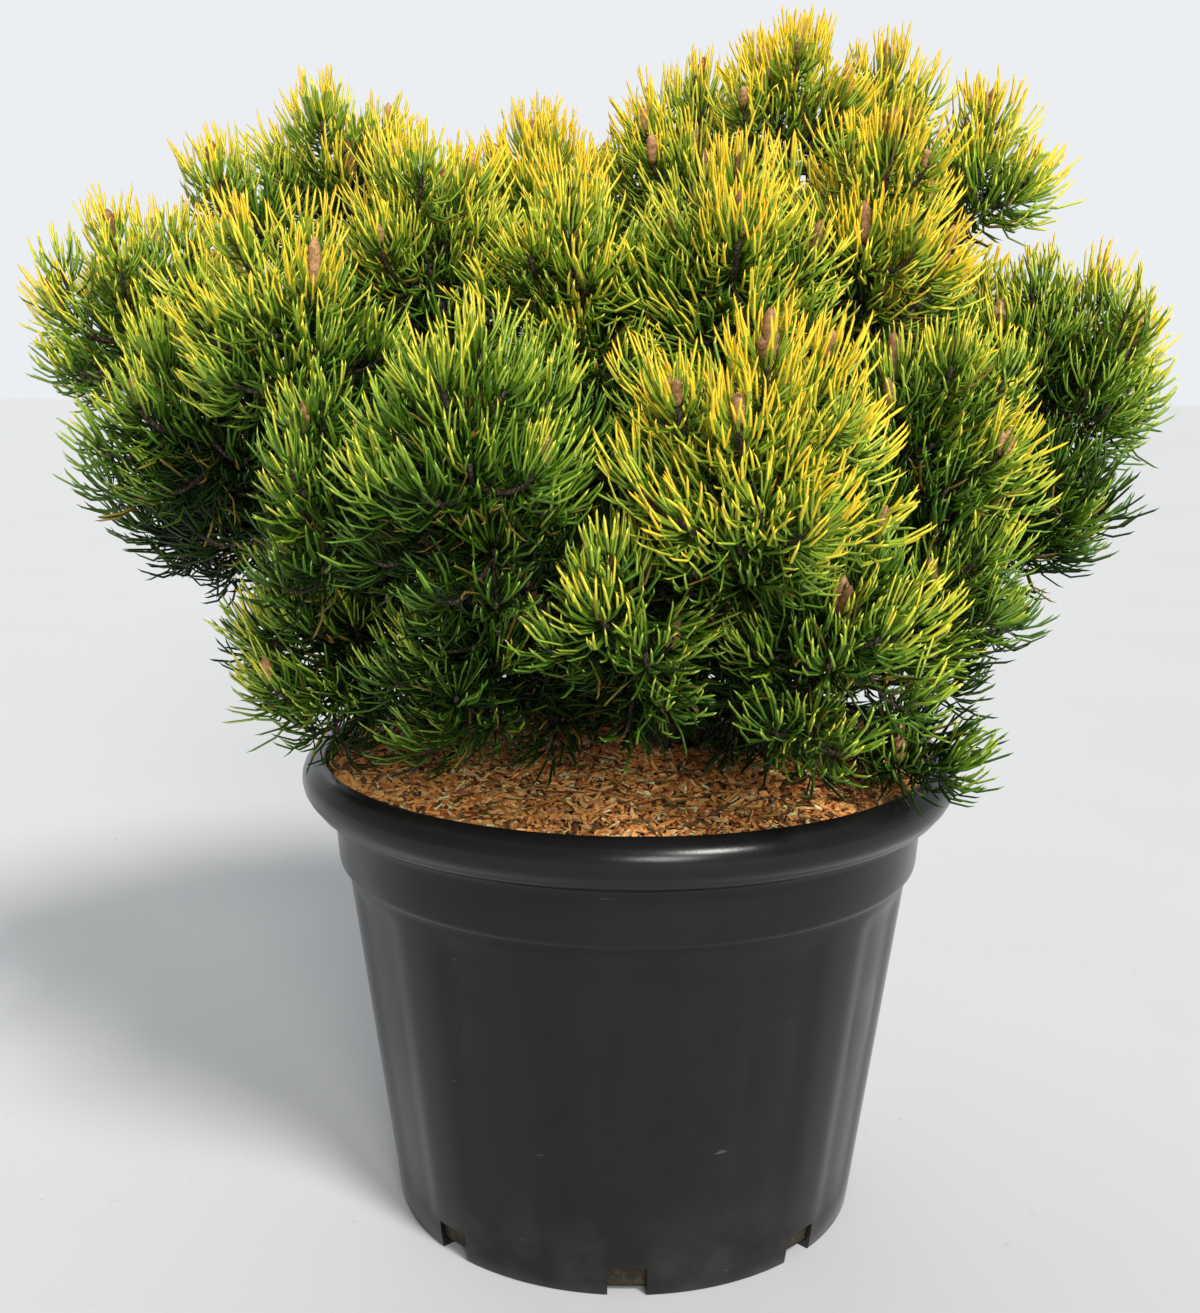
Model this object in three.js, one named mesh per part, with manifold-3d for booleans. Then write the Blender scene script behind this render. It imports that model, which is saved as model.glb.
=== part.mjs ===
// A mugo pine in a round nursery pot: a short trunk that leans out of the mulch, a fan of tapering boughs,
// and a broad, lumpy crown of needle tufts.
//
// Millimetres, +Z up. The origin is the centre of the pot's flat underside, and -Y is the front.
import * as THREE from 'three';
import { mergeVertices } from 'three/addons/utils/BufferGeometryUtils.js';
import Module from 'manifold-3d';

const wasm = await Module();
wasm.setup();

const { clamp, degToRad, lerp, mapLinear } = THREE.MathUtils;
const UP = new THREE.Vector3(0, 0, 1);

// ---------------------------------------------------------------------------------------------------------
// Driving dimensions
// ---------------------------------------------------------------------------------------------------------

// Clearance between pieces that touch.
const SEAT_GAP = 0.3;

// The pot: a tapered body with shallow upright flutes, a plain collar and a rounded rim.
const POT = {
  height: 410,
  baseRadius: 204.5,
  bodyTopRadius: 246,
  collarBottom: 316,
  collarRadius: 253,
  collarTopRadius: 256,
  collarTop: 361,
  rimRadius: 283,
  rimWidest: 389,
  mouthRadius: 262,
  wall: 4,
  floor: 5,
  segments: 36,
  flutes: 12,
  fluteDepth: 3.5,
  fluteFrom: 28,
  fluteTo: 300,
};

// Drainage notches round the foot of the pot, one of them at the front.
const NOTCH = { count: 8, width: 32, height: 26, depth: 15 };

// The growing medium: it fills the pot and rises in a low mound to the level top that the trunk stands on.
const MEDIUM = { edgeHeight: 399, moundHeight: 411, slopeRadius: 190, levelRadius: 95, segments: 18 };

// The trunk, from its flat foot on the medium to the fork.
const TRUNK = {
  foot: new THREE.Vector3(42, 22, MEDIUM.moundHeight + SEAT_GAP),
  top: new THREE.Vector3(34, 8, 512),
  footRadius: 29,
  topRadius: 23,
  flare: 0.55,
  flareFade: 7,
  sides: 10,
  steps: 7,
};

// Boughs: each is one limb of a few flat sides that tapers to its tip. Main ones leave the trunk and side
// ones leave a main one; each leaves and arrives straight over a share of its length.
const BOUGH = {
  mainSides: 5,
  mainSteps: 5,
  sideSides: 4,
  sideSteps: 4,
  tipRadius: 3.6,
  leave: 0.38,
  arrive: 0.36,
};

// The crown's root is the trunk's fork: every clump of foliage is placed about it.
const CROWN_ROOT = TRUNK.top;

// How a clump grows: its shoots fan out over a dome. Its axis leans from the clump's own heading towards the
// sky, little where the clump lies level with the crown's root and fully from a rise of skyLeanRise degrees.
const CLUMP = {
  levelLean: 0.12,
  skyLean: 0.45,
  skyLeanRise: 30,
  dome: 112,
  shoots: 6,
  spreadOfShoots: 110,
  stemBack: 0.95,
  forkAt: 0.3,
  shootsBack: 0.35,
};

// One shoot: a bare twig, then a tuft of needles over a share of the shoot. The tuft's sizes are shares of
// its own length: a slim core and three whorls of needles that stand out of it, each as [height, distance
// from the twig].
const SHOOT = { twigRadius: 2.6, tuftShare: 0.84 };
const TUFT = {
  footRadius: 0.055,
  waist: 0.4,
  waistRadius: 0.1,
  coreTop: 0.76,
  lowNeedle: [0.52, 0.42],
  midNeedle: [0.8, 0.4],
  topNeedle: [1, 0.17],
};
const STEM = { sides: 3, radius: 3.8 };

// Free space round a tuft, and the sizes that a crowded tuft is tried at before it is left out.
const SPACE = { cellMargin: 0.6, limbMargin: 1.2, needleRoot: 14, soilMargin: 4, rimMargin: 8 };
const SHOOT_SIZES = [1, 0.86, 0.74, 0.62];
const NEEDLE_SAMPLES = [0, 0.22, 0.44, 0.62];

// The crown, one row for each bough and the mass of foliage on it: the limb it leaves and the share of that
// limb's length where it does, its girth there, and one or two clumps as [heading, rise, reach, spread].
// Heading is in degrees anticlockwise from +X seen from above, rise in degrees above level; reach runs from
// the crown's root to the clump's middle, and spread from there to its furthest tips.
const CROWN = {
  peak: { from: 'trunk', along: 0.97, radius: 13, clumps: [[8, 77, 432, 94], [8, 68, 450, 78]] },
  high_left: { from: 'trunk', along: 0.9, radius: 12, clumps: [[173, 53, 471, 91], [178, 43, 502, 73]] },
  arm_left: { from: 'trunk', along: 0.74, radius: 12, clumps: [[-179, 31.5, 497, 116]] },
  front_left: { from: 'trunk', along: 0.84, radius: 11, clumps: [[-115, 26, 372, 116]] },
  front_gold: { from: 'trunk', along: 0.8, radius: 12, clumps: [[-83, 28, 367, 120]] },
  side_right: { from: 'trunk', along: 0.72, radius: 11, clumps: [[-3, 24, 321, 108]] },
  shoulder_right: { from: 'trunk', along: 0.92, radius: 12, clumps: [[3, 33.5, 389, 113]] },
  back_left: { from: 'trunk', along: 0.78, radius: 11, clumps: [[150, 22, 374, 116], [147, 46, 404, 114]] },
  back_middle: { from: 'trunk', along: 0.86, radius: 12, clumps: [[92, 20, 334, 116], [90, 46, 374, 114]] },
  back_right: { from: 'trunk', along: 0.8, radius: 11, clumps: [[33, 22, 334, 112], [35, 47, 374, 112]] },
  skirt_left: { from: 'trunk', along: 0.6, radius: 8, clumps: [[-157, 1.5, 288, 103]] },
  skirt_right: { from: 'trunk', along: 0.55, radius: 7, clumps: [[-40, -16, 256, 72]] },
  high_right: { from: 'peak', along: 0.34, radius: 8, clumps: [[-2, 57.2, 447, 82]] },
  top: { from: 'peak', along: 0.28, radius: 8, clumps: [[139, 67, 373, 107], [68, 81, 391, 107]] },
  upper_front: {
    from: 'front_gold',
    along: 0.3,
    radius: 8,
    clumps: [[-116, 59, 335, 100], [-78, 60, 340, 102]],
  },
  upper_right: { from: 'shoulder_right', along: 0.3, radius: 7, clumps: [[-39, 60, 362, 106]] },
  right_front: {
    from: 'side_right',
    along: 0.22,
    radius: 8,
    clumps: [[-43, 36, 300, 108], [-40, 15, 264, 94]],
  },
  low_right: { from: 'side_right', along: 0.3, radius: 6, clumps: [[-14, 4.5, 230, 92]] },
  low_front_right: { from: 'front_gold', along: 0.24, radius: 6, clumps: [[-70, 10, 285, 100]] },
  low_front: { from: 'front_left', along: 0.26, radius: 7, clumps: [[-97, 16, 328, 98]] },
  far_left: { from: 'front_left', along: 0.36, radius: 7, clumps: [[-136, 24, 366, 102]] },
  skirt_front: { from: 'skirt_left', along: 0.3, radius: 6, clumps: [[-128, 3, 248, 90]] },
  low_left: { from: 'arm_left', along: 0.34, radius: 7, clumps: [[177, 18.5, 403, 115]] },
  mid_left: { from: 'arm_left', along: 0.46, radius: 7, clumps: [[-162, 26, 427, 104]] },
  front_top_left: { from: 'high_left', along: 0.36, radius: 7, clumps: [[-151, 37, 420, 106]] },
  top_left: { from: 'high_left', along: 0.3, radius: 7, clumps: [[-156, 55, 374, 102]] },
  back_far_left: {
    from: 'back_left',
    along: 0.36,
    radius: 7,
    clumps: [[120, 22, 339, 114], [118, 48, 385, 110]],
  },
  back_far_right: {
    from: 'back_right',
    along: 0.36,
    radius: 7,
    clumps: [[62, 22, 320, 112], [62, 50, 376, 108]],
  },
};

// ---------------------------------------------------------------------------------------------------------
// Solids
// ---------------------------------------------------------------------------------------------------------

// Turns a closed geometry into a solid, with its shared corners merged and its faces pointing out.
function solidOf(geometry) {
  geometry.deleteAttribute('normal');
  geometry.deleteAttribute('uv');
  const merged = mergeVertices(geometry, 1e-4);
  const corners = merged.getAttribute('position').array;
  const index = merged.getIndex().array;
  const faces = [];
  let volume = 0;
  const [a, b, c] = [new THREE.Vector3(), new THREE.Vector3(), new THREE.Vector3()];
  for (let i = 0; i < index.length; i += 3) {
    const [p, q, r] = index.slice(i, i + 3);
    if (p === q || q === r || r === p) continue;
    faces.push(p, q, r);
    a.fromArray(corners, 3 * p);
    b.fromArray(corners, 3 * q);
    c.fromArray(corners, 3 * r);
    volume += a.dot(b.cross(c));
  }
  if (volume < 0) faces.reverse();
  const mesh = new wasm.Mesh({
    numProp: 3,
    vertProperties: new Float32Array(corners),
    triVerts: new Uint32Array(faces),
  });
  return new wasm.Manifold(mesh);
}

// Turns a solid back into a geometry with flat-shaded faces.
function geometryOf(solid) {
  const mesh = solid.getMesh();
  const geometry = new THREE.BufferGeometry();
  geometry.setAttribute('position', new THREE.BufferAttribute(mesh.vertProperties, 3));
  geometry.setIndex(new THREE.BufferAttribute(mesh.triVerts, 1));
  return geometry;
}

// A closed geometry from corner points and faces given as lists of corner numbers.
function closedGeometry(points, faces) {
  const geometry = new THREE.BufferGeometry().setFromPoints(points);
  geometry.setIndex(faces);
  return geometry;
}

// The largest connected piece of a solid: loose scraps left by a cut are dropped.
function largestPiece(solid) {
  const pieces = solid.decompose();
  return pieces.reduce((best, piece) => (piece.volume() > best.volume() ? piece : best));
}

// A turned solid about the +Z axis from a profile of [radius, height] points.
function turnedGeometry(profile, segments) {
  const points = profile.map(([radius, height]) => new THREE.Vector2(radius, height));
  return new THREE.LatheGeometry(points, segments).rotateX(Math.PI / 2);
}

// Two directions square to a given one and to each other.
function sideDirections(direction) {
  const helper = Math.abs(direction.z) < 0.9 ? UP : new THREE.Vector3(1, 0, 0);
  const first = new THREE.Vector3().crossVectors(helper, direction).normalize();
  return [first, new THREE.Vector3().crossVectors(direction, first)];
}

// A closed limb along a path: rings of corners joined by a skin, with a flat end at each tip.
function limbSolid(path, steps, sides, radiusAt) {
  const frames = path.computeFrenetFrames(steps, false);
  const points = [];
  for (let i = 0; i <= steps; i += 1) {
    const centre = path.getPoint(i / steps);
    const radius = radiusAt(i / steps);
    for (let j = 0; j < sides; j += 1) {
      const turn = (j / sides) * 2 * Math.PI;
      const corner = centre.clone().addScaledVector(frames.normals[i], radius * Math.cos(turn));
      points.push(corner.addScaledVector(frames.binormals[i], radius * Math.sin(turn)));
    }
  }
  const faces = [];
  for (let i = 0; i < steps; i += 1) {
    for (let j = 0; j < sides; j += 1) {
      const [a, b] = [i * sides + j, i * sides + ((j + 1) % sides)];
      faces.push(a, b, b + sides, a, b + sides, a + sides);
    }
  }
  const last = steps * sides;
  for (let j = 1; j < sides - 1; j += 1) {
    faces.push(0, j + 1, j, last, last + j, last + j + 1);
  }
  return solidOf(closedGeometry(points, faces));
}

// ---------------------------------------------------------------------------------------------------------
// Seeded numbers
// ---------------------------------------------------------------------------------------------------------

// A small repeatable random source: the same seed always grows the same clump.
function seededNumbers(seed) {
  let state = seed * 7919 + 104729;
  return () => {
    state = (state * 48271) % 2147483647;
    return state / 2147483647;
  };
}

// ---------------------------------------------------------------------------------------------------------
// Pot and growing medium
// ---------------------------------------------------------------------------------------------------------

function potSolid() {
  const rimHalf = (POT.height - POT.collarTop) / 2;
  const outer = [
    [0, 0],
    [POT.baseRadius, 0],
    [bodyRadius(POT.fluteFrom), POT.fluteFrom],
    [bodyRadius(POT.fluteTo), POT.fluteTo],
    [POT.bodyTopRadius, POT.collarBottom],
    [POT.collarRadius, POT.collarBottom + 3],
    [POT.collarTopRadius, POT.collarTop],
  ];
  const rim = [
    [POT.rimRadius - 14, POT.collarTop + 4],
    [POT.rimRadius - 4, POT.collarTop + 12],
    [POT.rimRadius, POT.rimWidest],
    [POT.rimRadius - 3, POT.height - rimHalf / 3],
    [(POT.rimRadius + POT.mouthRadius) / 2, POT.height],
    [POT.mouthRadius + 2, POT.height - 4],
  ];
  const inner = innerProfile(0);
  const geometry = turnedGeometry([...outer, ...rim, ...inner], POT.segments);
  pressFlutes(geometry);
  let pot = solidOf(geometry);
  for (let i = 0; i < NOTCH.count; i += 1) {
    pot = pot.subtract(notchSolid((i / NOTCH.count) * 2 * Math.PI));
  }
  return pot;
}

// The body's outer radius at a height, along its straight taper.
function bodyRadius(height) {
  return mapLinear(height, 0, POT.collarBottom, POT.baseRadius, POT.bodyTopRadius);
}

// The pot's inside from its mouth down to the middle of its floor, drawn in by a clearance.
function innerProfile(clearance) {
  const shoulder = POT.bodyTopRadius - POT.wall - clearance;
  return [
    [POT.mouthRadius - clearance, MEDIUM.edgeHeight],
    [POT.collarRadius - POT.wall - clearance, POT.collarBottom + 8],
    [shoulder, POT.collarBottom - 4],
    [POT.baseRadius - POT.wall - clearance, POT.floor + clearance],
    [0, POT.floor + clearance],
  ];
}

// Draws the outer wall in along shallow upright flutes.
function pressFlutes(geometry) {
  const corners = geometry.getAttribute('position');
  const slack = 1;
  for (let i = 0; i < corners.count; i += 1) {
    const [x, y, z] = [corners.getX(i), corners.getY(i), corners.getZ(i)];
    const radius = Math.hypot(x, y);
    const onWall = z > POT.fluteFrom - slack && z < POT.fluteTo + slack && radius > bodyRadius(z) - slack;
    if (!onWall) continue;
    const wave = 0.5 + 0.5 * Math.cos(POT.flutes * Math.atan2(y, x));
    const share = 1 - (POT.fluteDepth * wave) / radius;
    corners.setXY(i, x * share, y * share);
  }
}

// One block that cuts a notch through the wall at the pot's foot.
function notchSolid(turn) {
  const block = new THREE.BoxGeometry(2 * NOTCH.depth, NOTCH.width, 2 * NOTCH.height);
  block.translate(POT.baseRadius, 0, 0).rotateZ(turn);
  return solidOf(block);
}

function mediumSolid() {
  const top = [
    [0, MEDIUM.moundHeight],
    [MEDIUM.levelRadius, MEDIUM.moundHeight],
    [MEDIUM.slopeRadius, (MEDIUM.moundHeight + MEDIUM.edgeHeight) / 2],
  ];
  return solidOf(turnedGeometry([...top, ...innerProfile(SEAT_GAP)], MEDIUM.segments));
}

// ---------------------------------------------------------------------------------------------------------
// Trunk and boughs
// ---------------------------------------------------------------------------------------------------------

// A limb is its path, its root radius and its tip radius; swollen adds a clearance all round it.
function makeLimb(path, rootRadius, tipRadius, steps, sides, flare = 0) {
  const radiusAt = (t) => {
    const taper = lerp(rootRadius, tipRadius, t);
    return taper * (1 + flare * Math.exp(-TRUNK.flareFade * t));
  };
  const swell = 1 / Math.cos(Math.PI / sides);
  return {
    path,
    radiusAt,
    solid: limbSolid(path, steps, sides, radiusAt),
    swollen: limbSolid(path, steps, sides, (t) => radiusAt(t) + SEAT_GAP * swell),
    points: path.getPoints(2 * steps),
  };
}

function makeTrunk() {
  const { foot, top } = TRUNK;
  const rise = (top.z - foot.z) / 3;
  const path = new THREE.CubicBezierCurve3(
    foot,
    foot.clone().addScaledVector(UP, rise),
    top.clone().addScaledVector(UP, -rise),
    top,
  );
  return makeLimb(path, TRUNK.footRadius, TRUNK.topRadius, TRUNK.steps, TRUNK.sides, TRUNK.flare);
}

// The unit direction of a heading and a rise in degrees.
function directionOf(heading, rise) {
  const [turn, lift] = [degToRad(heading), degToRad(rise)];
  const level = Math.cos(lift);
  return new THREE.Vector3(Math.cos(turn) * level, Math.sin(turn) * level, Math.sin(lift));
}

// A clump's middle, its spread and the way it grows.
function makeClump([heading, rise, reach, spread], mass) {
  const outward = directionOf(heading, rise);
  const centre = CROWN_ROOT.clone().addScaledVector(outward, reach);
  const lean = lerp(CLUMP.levelLean, CLUMP.skyLean, clamp(rise / CLUMP.skyLeanRise, 0, 1));
  const growth = outward.clone().multiplyScalar(1 - lean).addScaledVector(UP, lean).normalize();
  return { mass, centre, spread, growth };
}

// A bough from a point inside the limb that carries it to the foot of its mass of foliage.
function makeBough(row, limbs, stemFoot, growth) {
  const carrier = limbs[row.from];
  const start = carrier.path.getPoint(row.along);
  const length = start.distanceTo(stemFoot);
  const straight = stemFoot.clone().sub(start).normalize();
  const leaving = carrier.path.getTangent(row.along).add(straight).normalize();
  const tip = stemFoot.clone().addScaledVector(growth, -SEAT_GAP);
  const path = new THREE.CubicBezierCurve3(
    start,
    start.clone().addScaledVector(leaving, BOUGH.leave * length),
    tip.clone().addScaledVector(growth, -BOUGH.arrive * length),
    tip,
  );
  const isMain = row.from === 'trunk';
  const steps = isMain ? BOUGH.mainSteps : BOUGH.sideSteps;
  const sides = isMain ? BOUGH.mainSides : BOUGH.sideSides;
  return makeLimb(path, row.radius, BOUGH.tipRadius, steps, sides);
}

// Cuts a bough clear of every limb made before it.
function trimmedBough(bough, limbs) {
  let solid = bough.solid;
  for (const other of Object.values(limbs)) {
    if (other !== bough) solid = solid.subtract(other.swollen);
  }
  return largestPiece(solid);
}

// ---------------------------------------------------------------------------------------------------------
// Foliage
// ---------------------------------------------------------------------------------------------------------

// How far a point is inside a clump's own space, against every clump of the other masses: the space ends
// halfway between two neighbours, shifted by their spreads.
function roomInside(point, clump, clumps) {
  let room = Infinity;
  for (const other of clumps) {
    if (other.mass === clump.mass) continue;
    const apart = clump.centre.distanceTo(other.centre);
    const here = point.distanceToSquared(clump.centre) - clump.spread ** 2;
    const there = point.distanceToSquared(other.centre) - other.spread ** 2;
    room = Math.min(room, (there - here) / (2 * apart));
  }
  return room;
}

// The distance of a point from the nearest limb's skin.
function limbClearance(point, limbs) {
  const nearest = new THREE.Vector3();
  let clearance = Infinity;
  for (const limb of limbs) {
    const last = limb.points.length - 1;
    for (let i = 0; i < last; i += 1) {
      const stretch = new THREE.Line3(limb.points[i], limb.points[i + 1]);
      stretch.closestPointToPoint(point, true, nearest);
      clearance = Math.min(clearance, nearest.distanceTo(point) - limb.radiusAt(i / last));
    }
  }
  return clearance;
}

// Whether a needle keeps clear of the limbs all the way from its point down to its broad root.
function clearOfLimbs(point, root, limbs) {
  return NEEDLE_SAMPLES.every((share) => {
    const along = point.clone().lerp(root, share);
    return limbClearance(along, limbs) > SPACE.limbMargin + share * SPACE.needleRoot;
  });
}

function clearOfPot(point) {
  const radius = Math.hypot(point.x, point.y);
  if (radius < POT.rimRadius + SPACE.rimMargin) return point.z > MEDIUM.moundHeight + SPACE.soilMargin;
  return true;
}

// The corners of a shoot: the square root of its twig, the square foot of its tuft, a waist turned by half
// a side, the core's top, then the points of twelve needles, each raised over one face of the core.
function shootPoints(root, tip, twist) {
  const direction = tip.clone().sub(root);
  const length = direction.length() * SHOOT.tuftShare;
  direction.normalize();
  const foot = tip.clone().addScaledVector(direction, -length);
  const [sideA, sideB] = sideDirections(direction);
  const ring = (middle, height, radius, turn) =>
    [0, 1, 2, 3].map((k) => {
      const angle = twist + turn + (k * Math.PI) / 2;
      const point = middle.clone().addScaledVector(direction, height);
      point.addScaledVector(sideA, radius * Math.cos(angle));
      return point.addScaledVector(sideB, radius * Math.sin(angle));
    });
  const whorl = ([height, radius], turn) => ring(foot, height * length, radius * length, turn);
  const halfSide = Math.PI / 4;
  return [
    ...ring(root, 0, SHOOT.twigRadius, 0),
    ...whorl([0, TUFT.footRadius], 0),
    ...whorl([TUFT.waist, TUFT.waistRadius], halfSide),
    foot.clone().addScaledVector(direction, TUFT.coreTop * length),
    ...whorl(TUFT.lowNeedle, halfSide),
    ...whorl(TUFT.midNeedle, 2 * halfSide),
    ...whorl(TUFT.topNeedle, 2 * halfSide),
  ];
}

// The faces of a shoot, in the order of its corners.
const SHOOT_FACES = (() => {
  const [root, foot, waist, top, low, mid, high] = [0, 4, 8, 12, 13, 17, 21];
  const faces = [root, root + 2, root + 1, root, root + 3, root + 2];
  const needle = (a, b, c, point) => faces.push(a, b, point, b, c, point, c, a, point);
  for (let k = 0; k < 4; k += 1) {
    const next = (k + 1) % 4;
    faces.push(root + k, root + next, foot + next, root + k, foot + next, foot + k);
    needle(foot + k, foot + next, waist + k, low + k);
    needle(waist + k, foot + next, waist + next, mid + k);
    needle(waist + k, waist + next, top, high + k);
  }
  return faces;
})();

// A straight three-sided stem that thins a little to its end.
function stemSolid(from, to) {
  return limbSolid(new THREE.LineCurve3(from, to), 1, STEM.sides, (t) => STEM.radius * (1 - 0.2 * t));
}

// The shoots of one clump: the first stands on the growth axis and the rest fan out below it, turned by the
// golden angle, and leave the stem further back the lower they point.
function clumpShoots(clump, seed) {
  const random = seededNumbers(seed);
  const goldenTurn = Math.PI * (3 - Math.sqrt(5));
  const [sideA, sideB] = sideDirections(clump.growth);
  const count = Math.round(CLUMP.shoots * (clump.spread / CLUMP.spreadOfShoots) ** 2);
  const firstTurn = random() * 2 * Math.PI;
  const shoots = [];
  for (let i = 0; i < count; i += 1) {
    const share = i / (count - 1);
    const polar = Math.acos(1 - share * (1 - Math.cos(degToRad(CLUMP.dome))));
    const turn = firstTurn + i * goldenTurn + (random() - 0.5) * 0.5;
    const across = sideA.clone().multiplyScalar(Math.cos(turn)).addScaledVector(sideB, Math.sin(turn));
    const outward = clump.growth.clone().multiplyScalar(Math.cos(polar));
    outward.addScaledVector(across, Math.sin(polar));
    const tip = clump.centre.clone().addScaledVector(outward, clump.spread * (0.92 + 0.16 * random()));
    const root = clump.centre.clone().addScaledVector(clump.growth, -CLUMP.shootsBack * clump.spread * share);
    shoots.push({ root, tip, twist: random() * Math.PI });
  }
  return shoots;
}

// A shoot at the largest size that keeps to the clump's space, or nothing.
function shootSolid(shoot, clump, clumps, limbs) {
  for (const size of SHOOT_SIZES) {
    const points = shootPoints(shoot.root, shoot.root.clone().lerp(shoot.tip, size), shoot.twist);
    const fits = points.slice(4).every(
      (point) =>
        roomInside(point, clump, clumps) > SPACE.cellMargin &&
        clearOfPot(point) &&
        clearOfLimbs(point, shoot.root, limbs),
    );
    if (fits) return solidOf(closedGeometry(points, SHOOT_FACES));
  }
  return null;
}

// The foot of a mass: as far back along its growth axis as its own space reaches.
function stemFootOf(clump, clumps) {
  const foot = clump.centre.clone();
  const step = 5;
  for (let back = step; back <= CLUMP.stemBack * clump.spread; back += step) {
    const next = clump.centre.clone().addScaledVector(clump.growth, -back);
    if (roomInside(next, clump, clumps) < 2 * STEM.radius) break;
    foot.copy(next);
  }
  return foot;
}

// One mass of foliage: a stem up from its bough's tip, a fork to its second clump, and the shoots of each.
function foliageSolid(mass, clumps, limbs, firstSeed) {
  const own = clumps.filter((clump) => clump.mass === mass);
  const stemFoot = stemFootOf(own[0], clumps);
  const fork = stemFoot.clone().lerp(own[0].centre, CLUMP.forkAt);
  const parts = [];
  own.forEach((clump, k) => {
    parts.push(stemSolid(k === 0 ? stemFoot : fork, clump.centre));
    for (const shoot of clumpShoots(clump, firstSeed + k)) {
      const solid = shootSolid(shoot, clump, clumps, limbs);
      if (solid) parts.push(solid);
    }
  });
  return largestPiece(solidOf(geometryOf(wasm.Manifold.union(parts))));
}

// ---------------------------------------------------------------------------------------------------------
// The plant
// ---------------------------------------------------------------------------------------------------------

const MATERIALS = {
  pot: new THREE.MeshStandardMaterial({ color: 0x232427, roughness: 0.42, metalness: 0 }),
  medium: new THREE.MeshStandardMaterial({ color: 0x8a4f2a, roughness: 0.95, metalness: 0 }),
  bark: new THREE.MeshStandardMaterial({ color: 0x4a3a2c, roughness: 0.9, metalness: 0 }),
  foliage: new THREE.MeshStandardMaterial({ color: 0x8a9a24, roughness: 0.6, metalness: 0 }),
};

const plant = new THREE.Group();

function addPiece(name, solid, material) {
  const mesh = new THREE.Mesh(geometryOf(solid), material);
  mesh.name = name;
  plant.add(mesh);
}

addPiece('pot', potSolid(), MATERIALS.pot);
addPiece('growing_medium', mediumSolid(), MATERIALS.medium);

const clumps = Object.entries(CROWN).flatMap(([mass, row]) => {
  return row.clumps.map((sizes) => makeClump(sizes, mass));
});
const limbs = { trunk: makeTrunk() };
addPiece('trunk', limbs.trunk.solid, MATERIALS.bark);
for (const [mass, row] of Object.entries(CROWN)) {
  const clump = clumps.find((each) => each.mass === mass);
  limbs[mass] = makeBough(row, limbs, stemFootOf(clump, clumps), clump.growth);
  addPiece(`bough_${mass}`, trimmedBough(limbs[mass], limbs), MATERIALS.bark);
}
Object.keys(CROWN).forEach((mass, k) => {
  const solid = foliageSolid(mass, clumps, Object.values(limbs), 10 * k + 1);
  addPiece(`foliage_${mass}`, solid, MATERIALS.foliage);
});

export default plant;
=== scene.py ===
"""A mugo pine in a round nursery pot: bark-covered limbs, sprays of curved needles, buds, mulch and pot.

Metres, +Z up. The origin is the centre of the pot's flat underside, and -Y is the front.
"""

import math

import bpy
import numpy as np
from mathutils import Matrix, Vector, noise


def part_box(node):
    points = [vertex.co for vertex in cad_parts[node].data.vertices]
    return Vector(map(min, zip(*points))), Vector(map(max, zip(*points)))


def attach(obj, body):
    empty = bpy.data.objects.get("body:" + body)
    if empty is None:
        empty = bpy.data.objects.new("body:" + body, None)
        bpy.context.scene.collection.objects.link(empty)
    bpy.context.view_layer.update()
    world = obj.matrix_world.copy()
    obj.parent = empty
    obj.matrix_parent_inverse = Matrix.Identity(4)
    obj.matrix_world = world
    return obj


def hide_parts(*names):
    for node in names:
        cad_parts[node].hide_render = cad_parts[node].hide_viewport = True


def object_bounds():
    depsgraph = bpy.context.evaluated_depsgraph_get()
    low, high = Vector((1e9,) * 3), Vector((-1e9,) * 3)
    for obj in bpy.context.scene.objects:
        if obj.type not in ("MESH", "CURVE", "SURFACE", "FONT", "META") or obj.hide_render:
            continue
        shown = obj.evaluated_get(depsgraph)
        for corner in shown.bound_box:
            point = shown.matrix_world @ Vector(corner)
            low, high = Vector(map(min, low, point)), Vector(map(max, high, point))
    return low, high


bl_info = {
    "name": "Potted Mugo Pine",
    "version": (1, 0, 0),
    "blender": (4, 5, 0),
    "location": "View3D > Sidebar > Mugo Pine",
    "description": "Grows a potted mugo pine around its packed frame",
    "category": "Object",
}

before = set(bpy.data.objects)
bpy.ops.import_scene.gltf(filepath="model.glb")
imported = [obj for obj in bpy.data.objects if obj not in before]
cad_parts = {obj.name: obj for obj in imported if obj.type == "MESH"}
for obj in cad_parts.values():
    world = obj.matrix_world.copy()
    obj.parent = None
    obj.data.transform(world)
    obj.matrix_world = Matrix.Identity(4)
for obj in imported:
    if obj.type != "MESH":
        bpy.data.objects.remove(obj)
CAD_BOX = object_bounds()
MAX_PIECE_TRIANGLES = 200_000
SEEDS = {"mulch": 41, "sprays": 21, "needles": 23, "twig_skin": 3, "buds": 11}

# --- The plant's rule of growth, as the solids have it ---

UP = np.array((0.0, 0.0, 1.0))
GOLDEN_TURN = math.pi * (3 - math.sqrt(5))
SEAT_GAP = 0.0003

TRUNK = {
    "foot": np.array((0.042, 0.022, 0.4113)), "foot_radius": 0.029, "flare": 0.55, "flare_fade": 7,
    "top": np.array((0.034, 0.008, 0.512)), "top_radius": 0.023,
}
BOUGH = {"tip_radius": 0.0036, "leave": 0.38, "arrive": 0.36}
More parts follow.
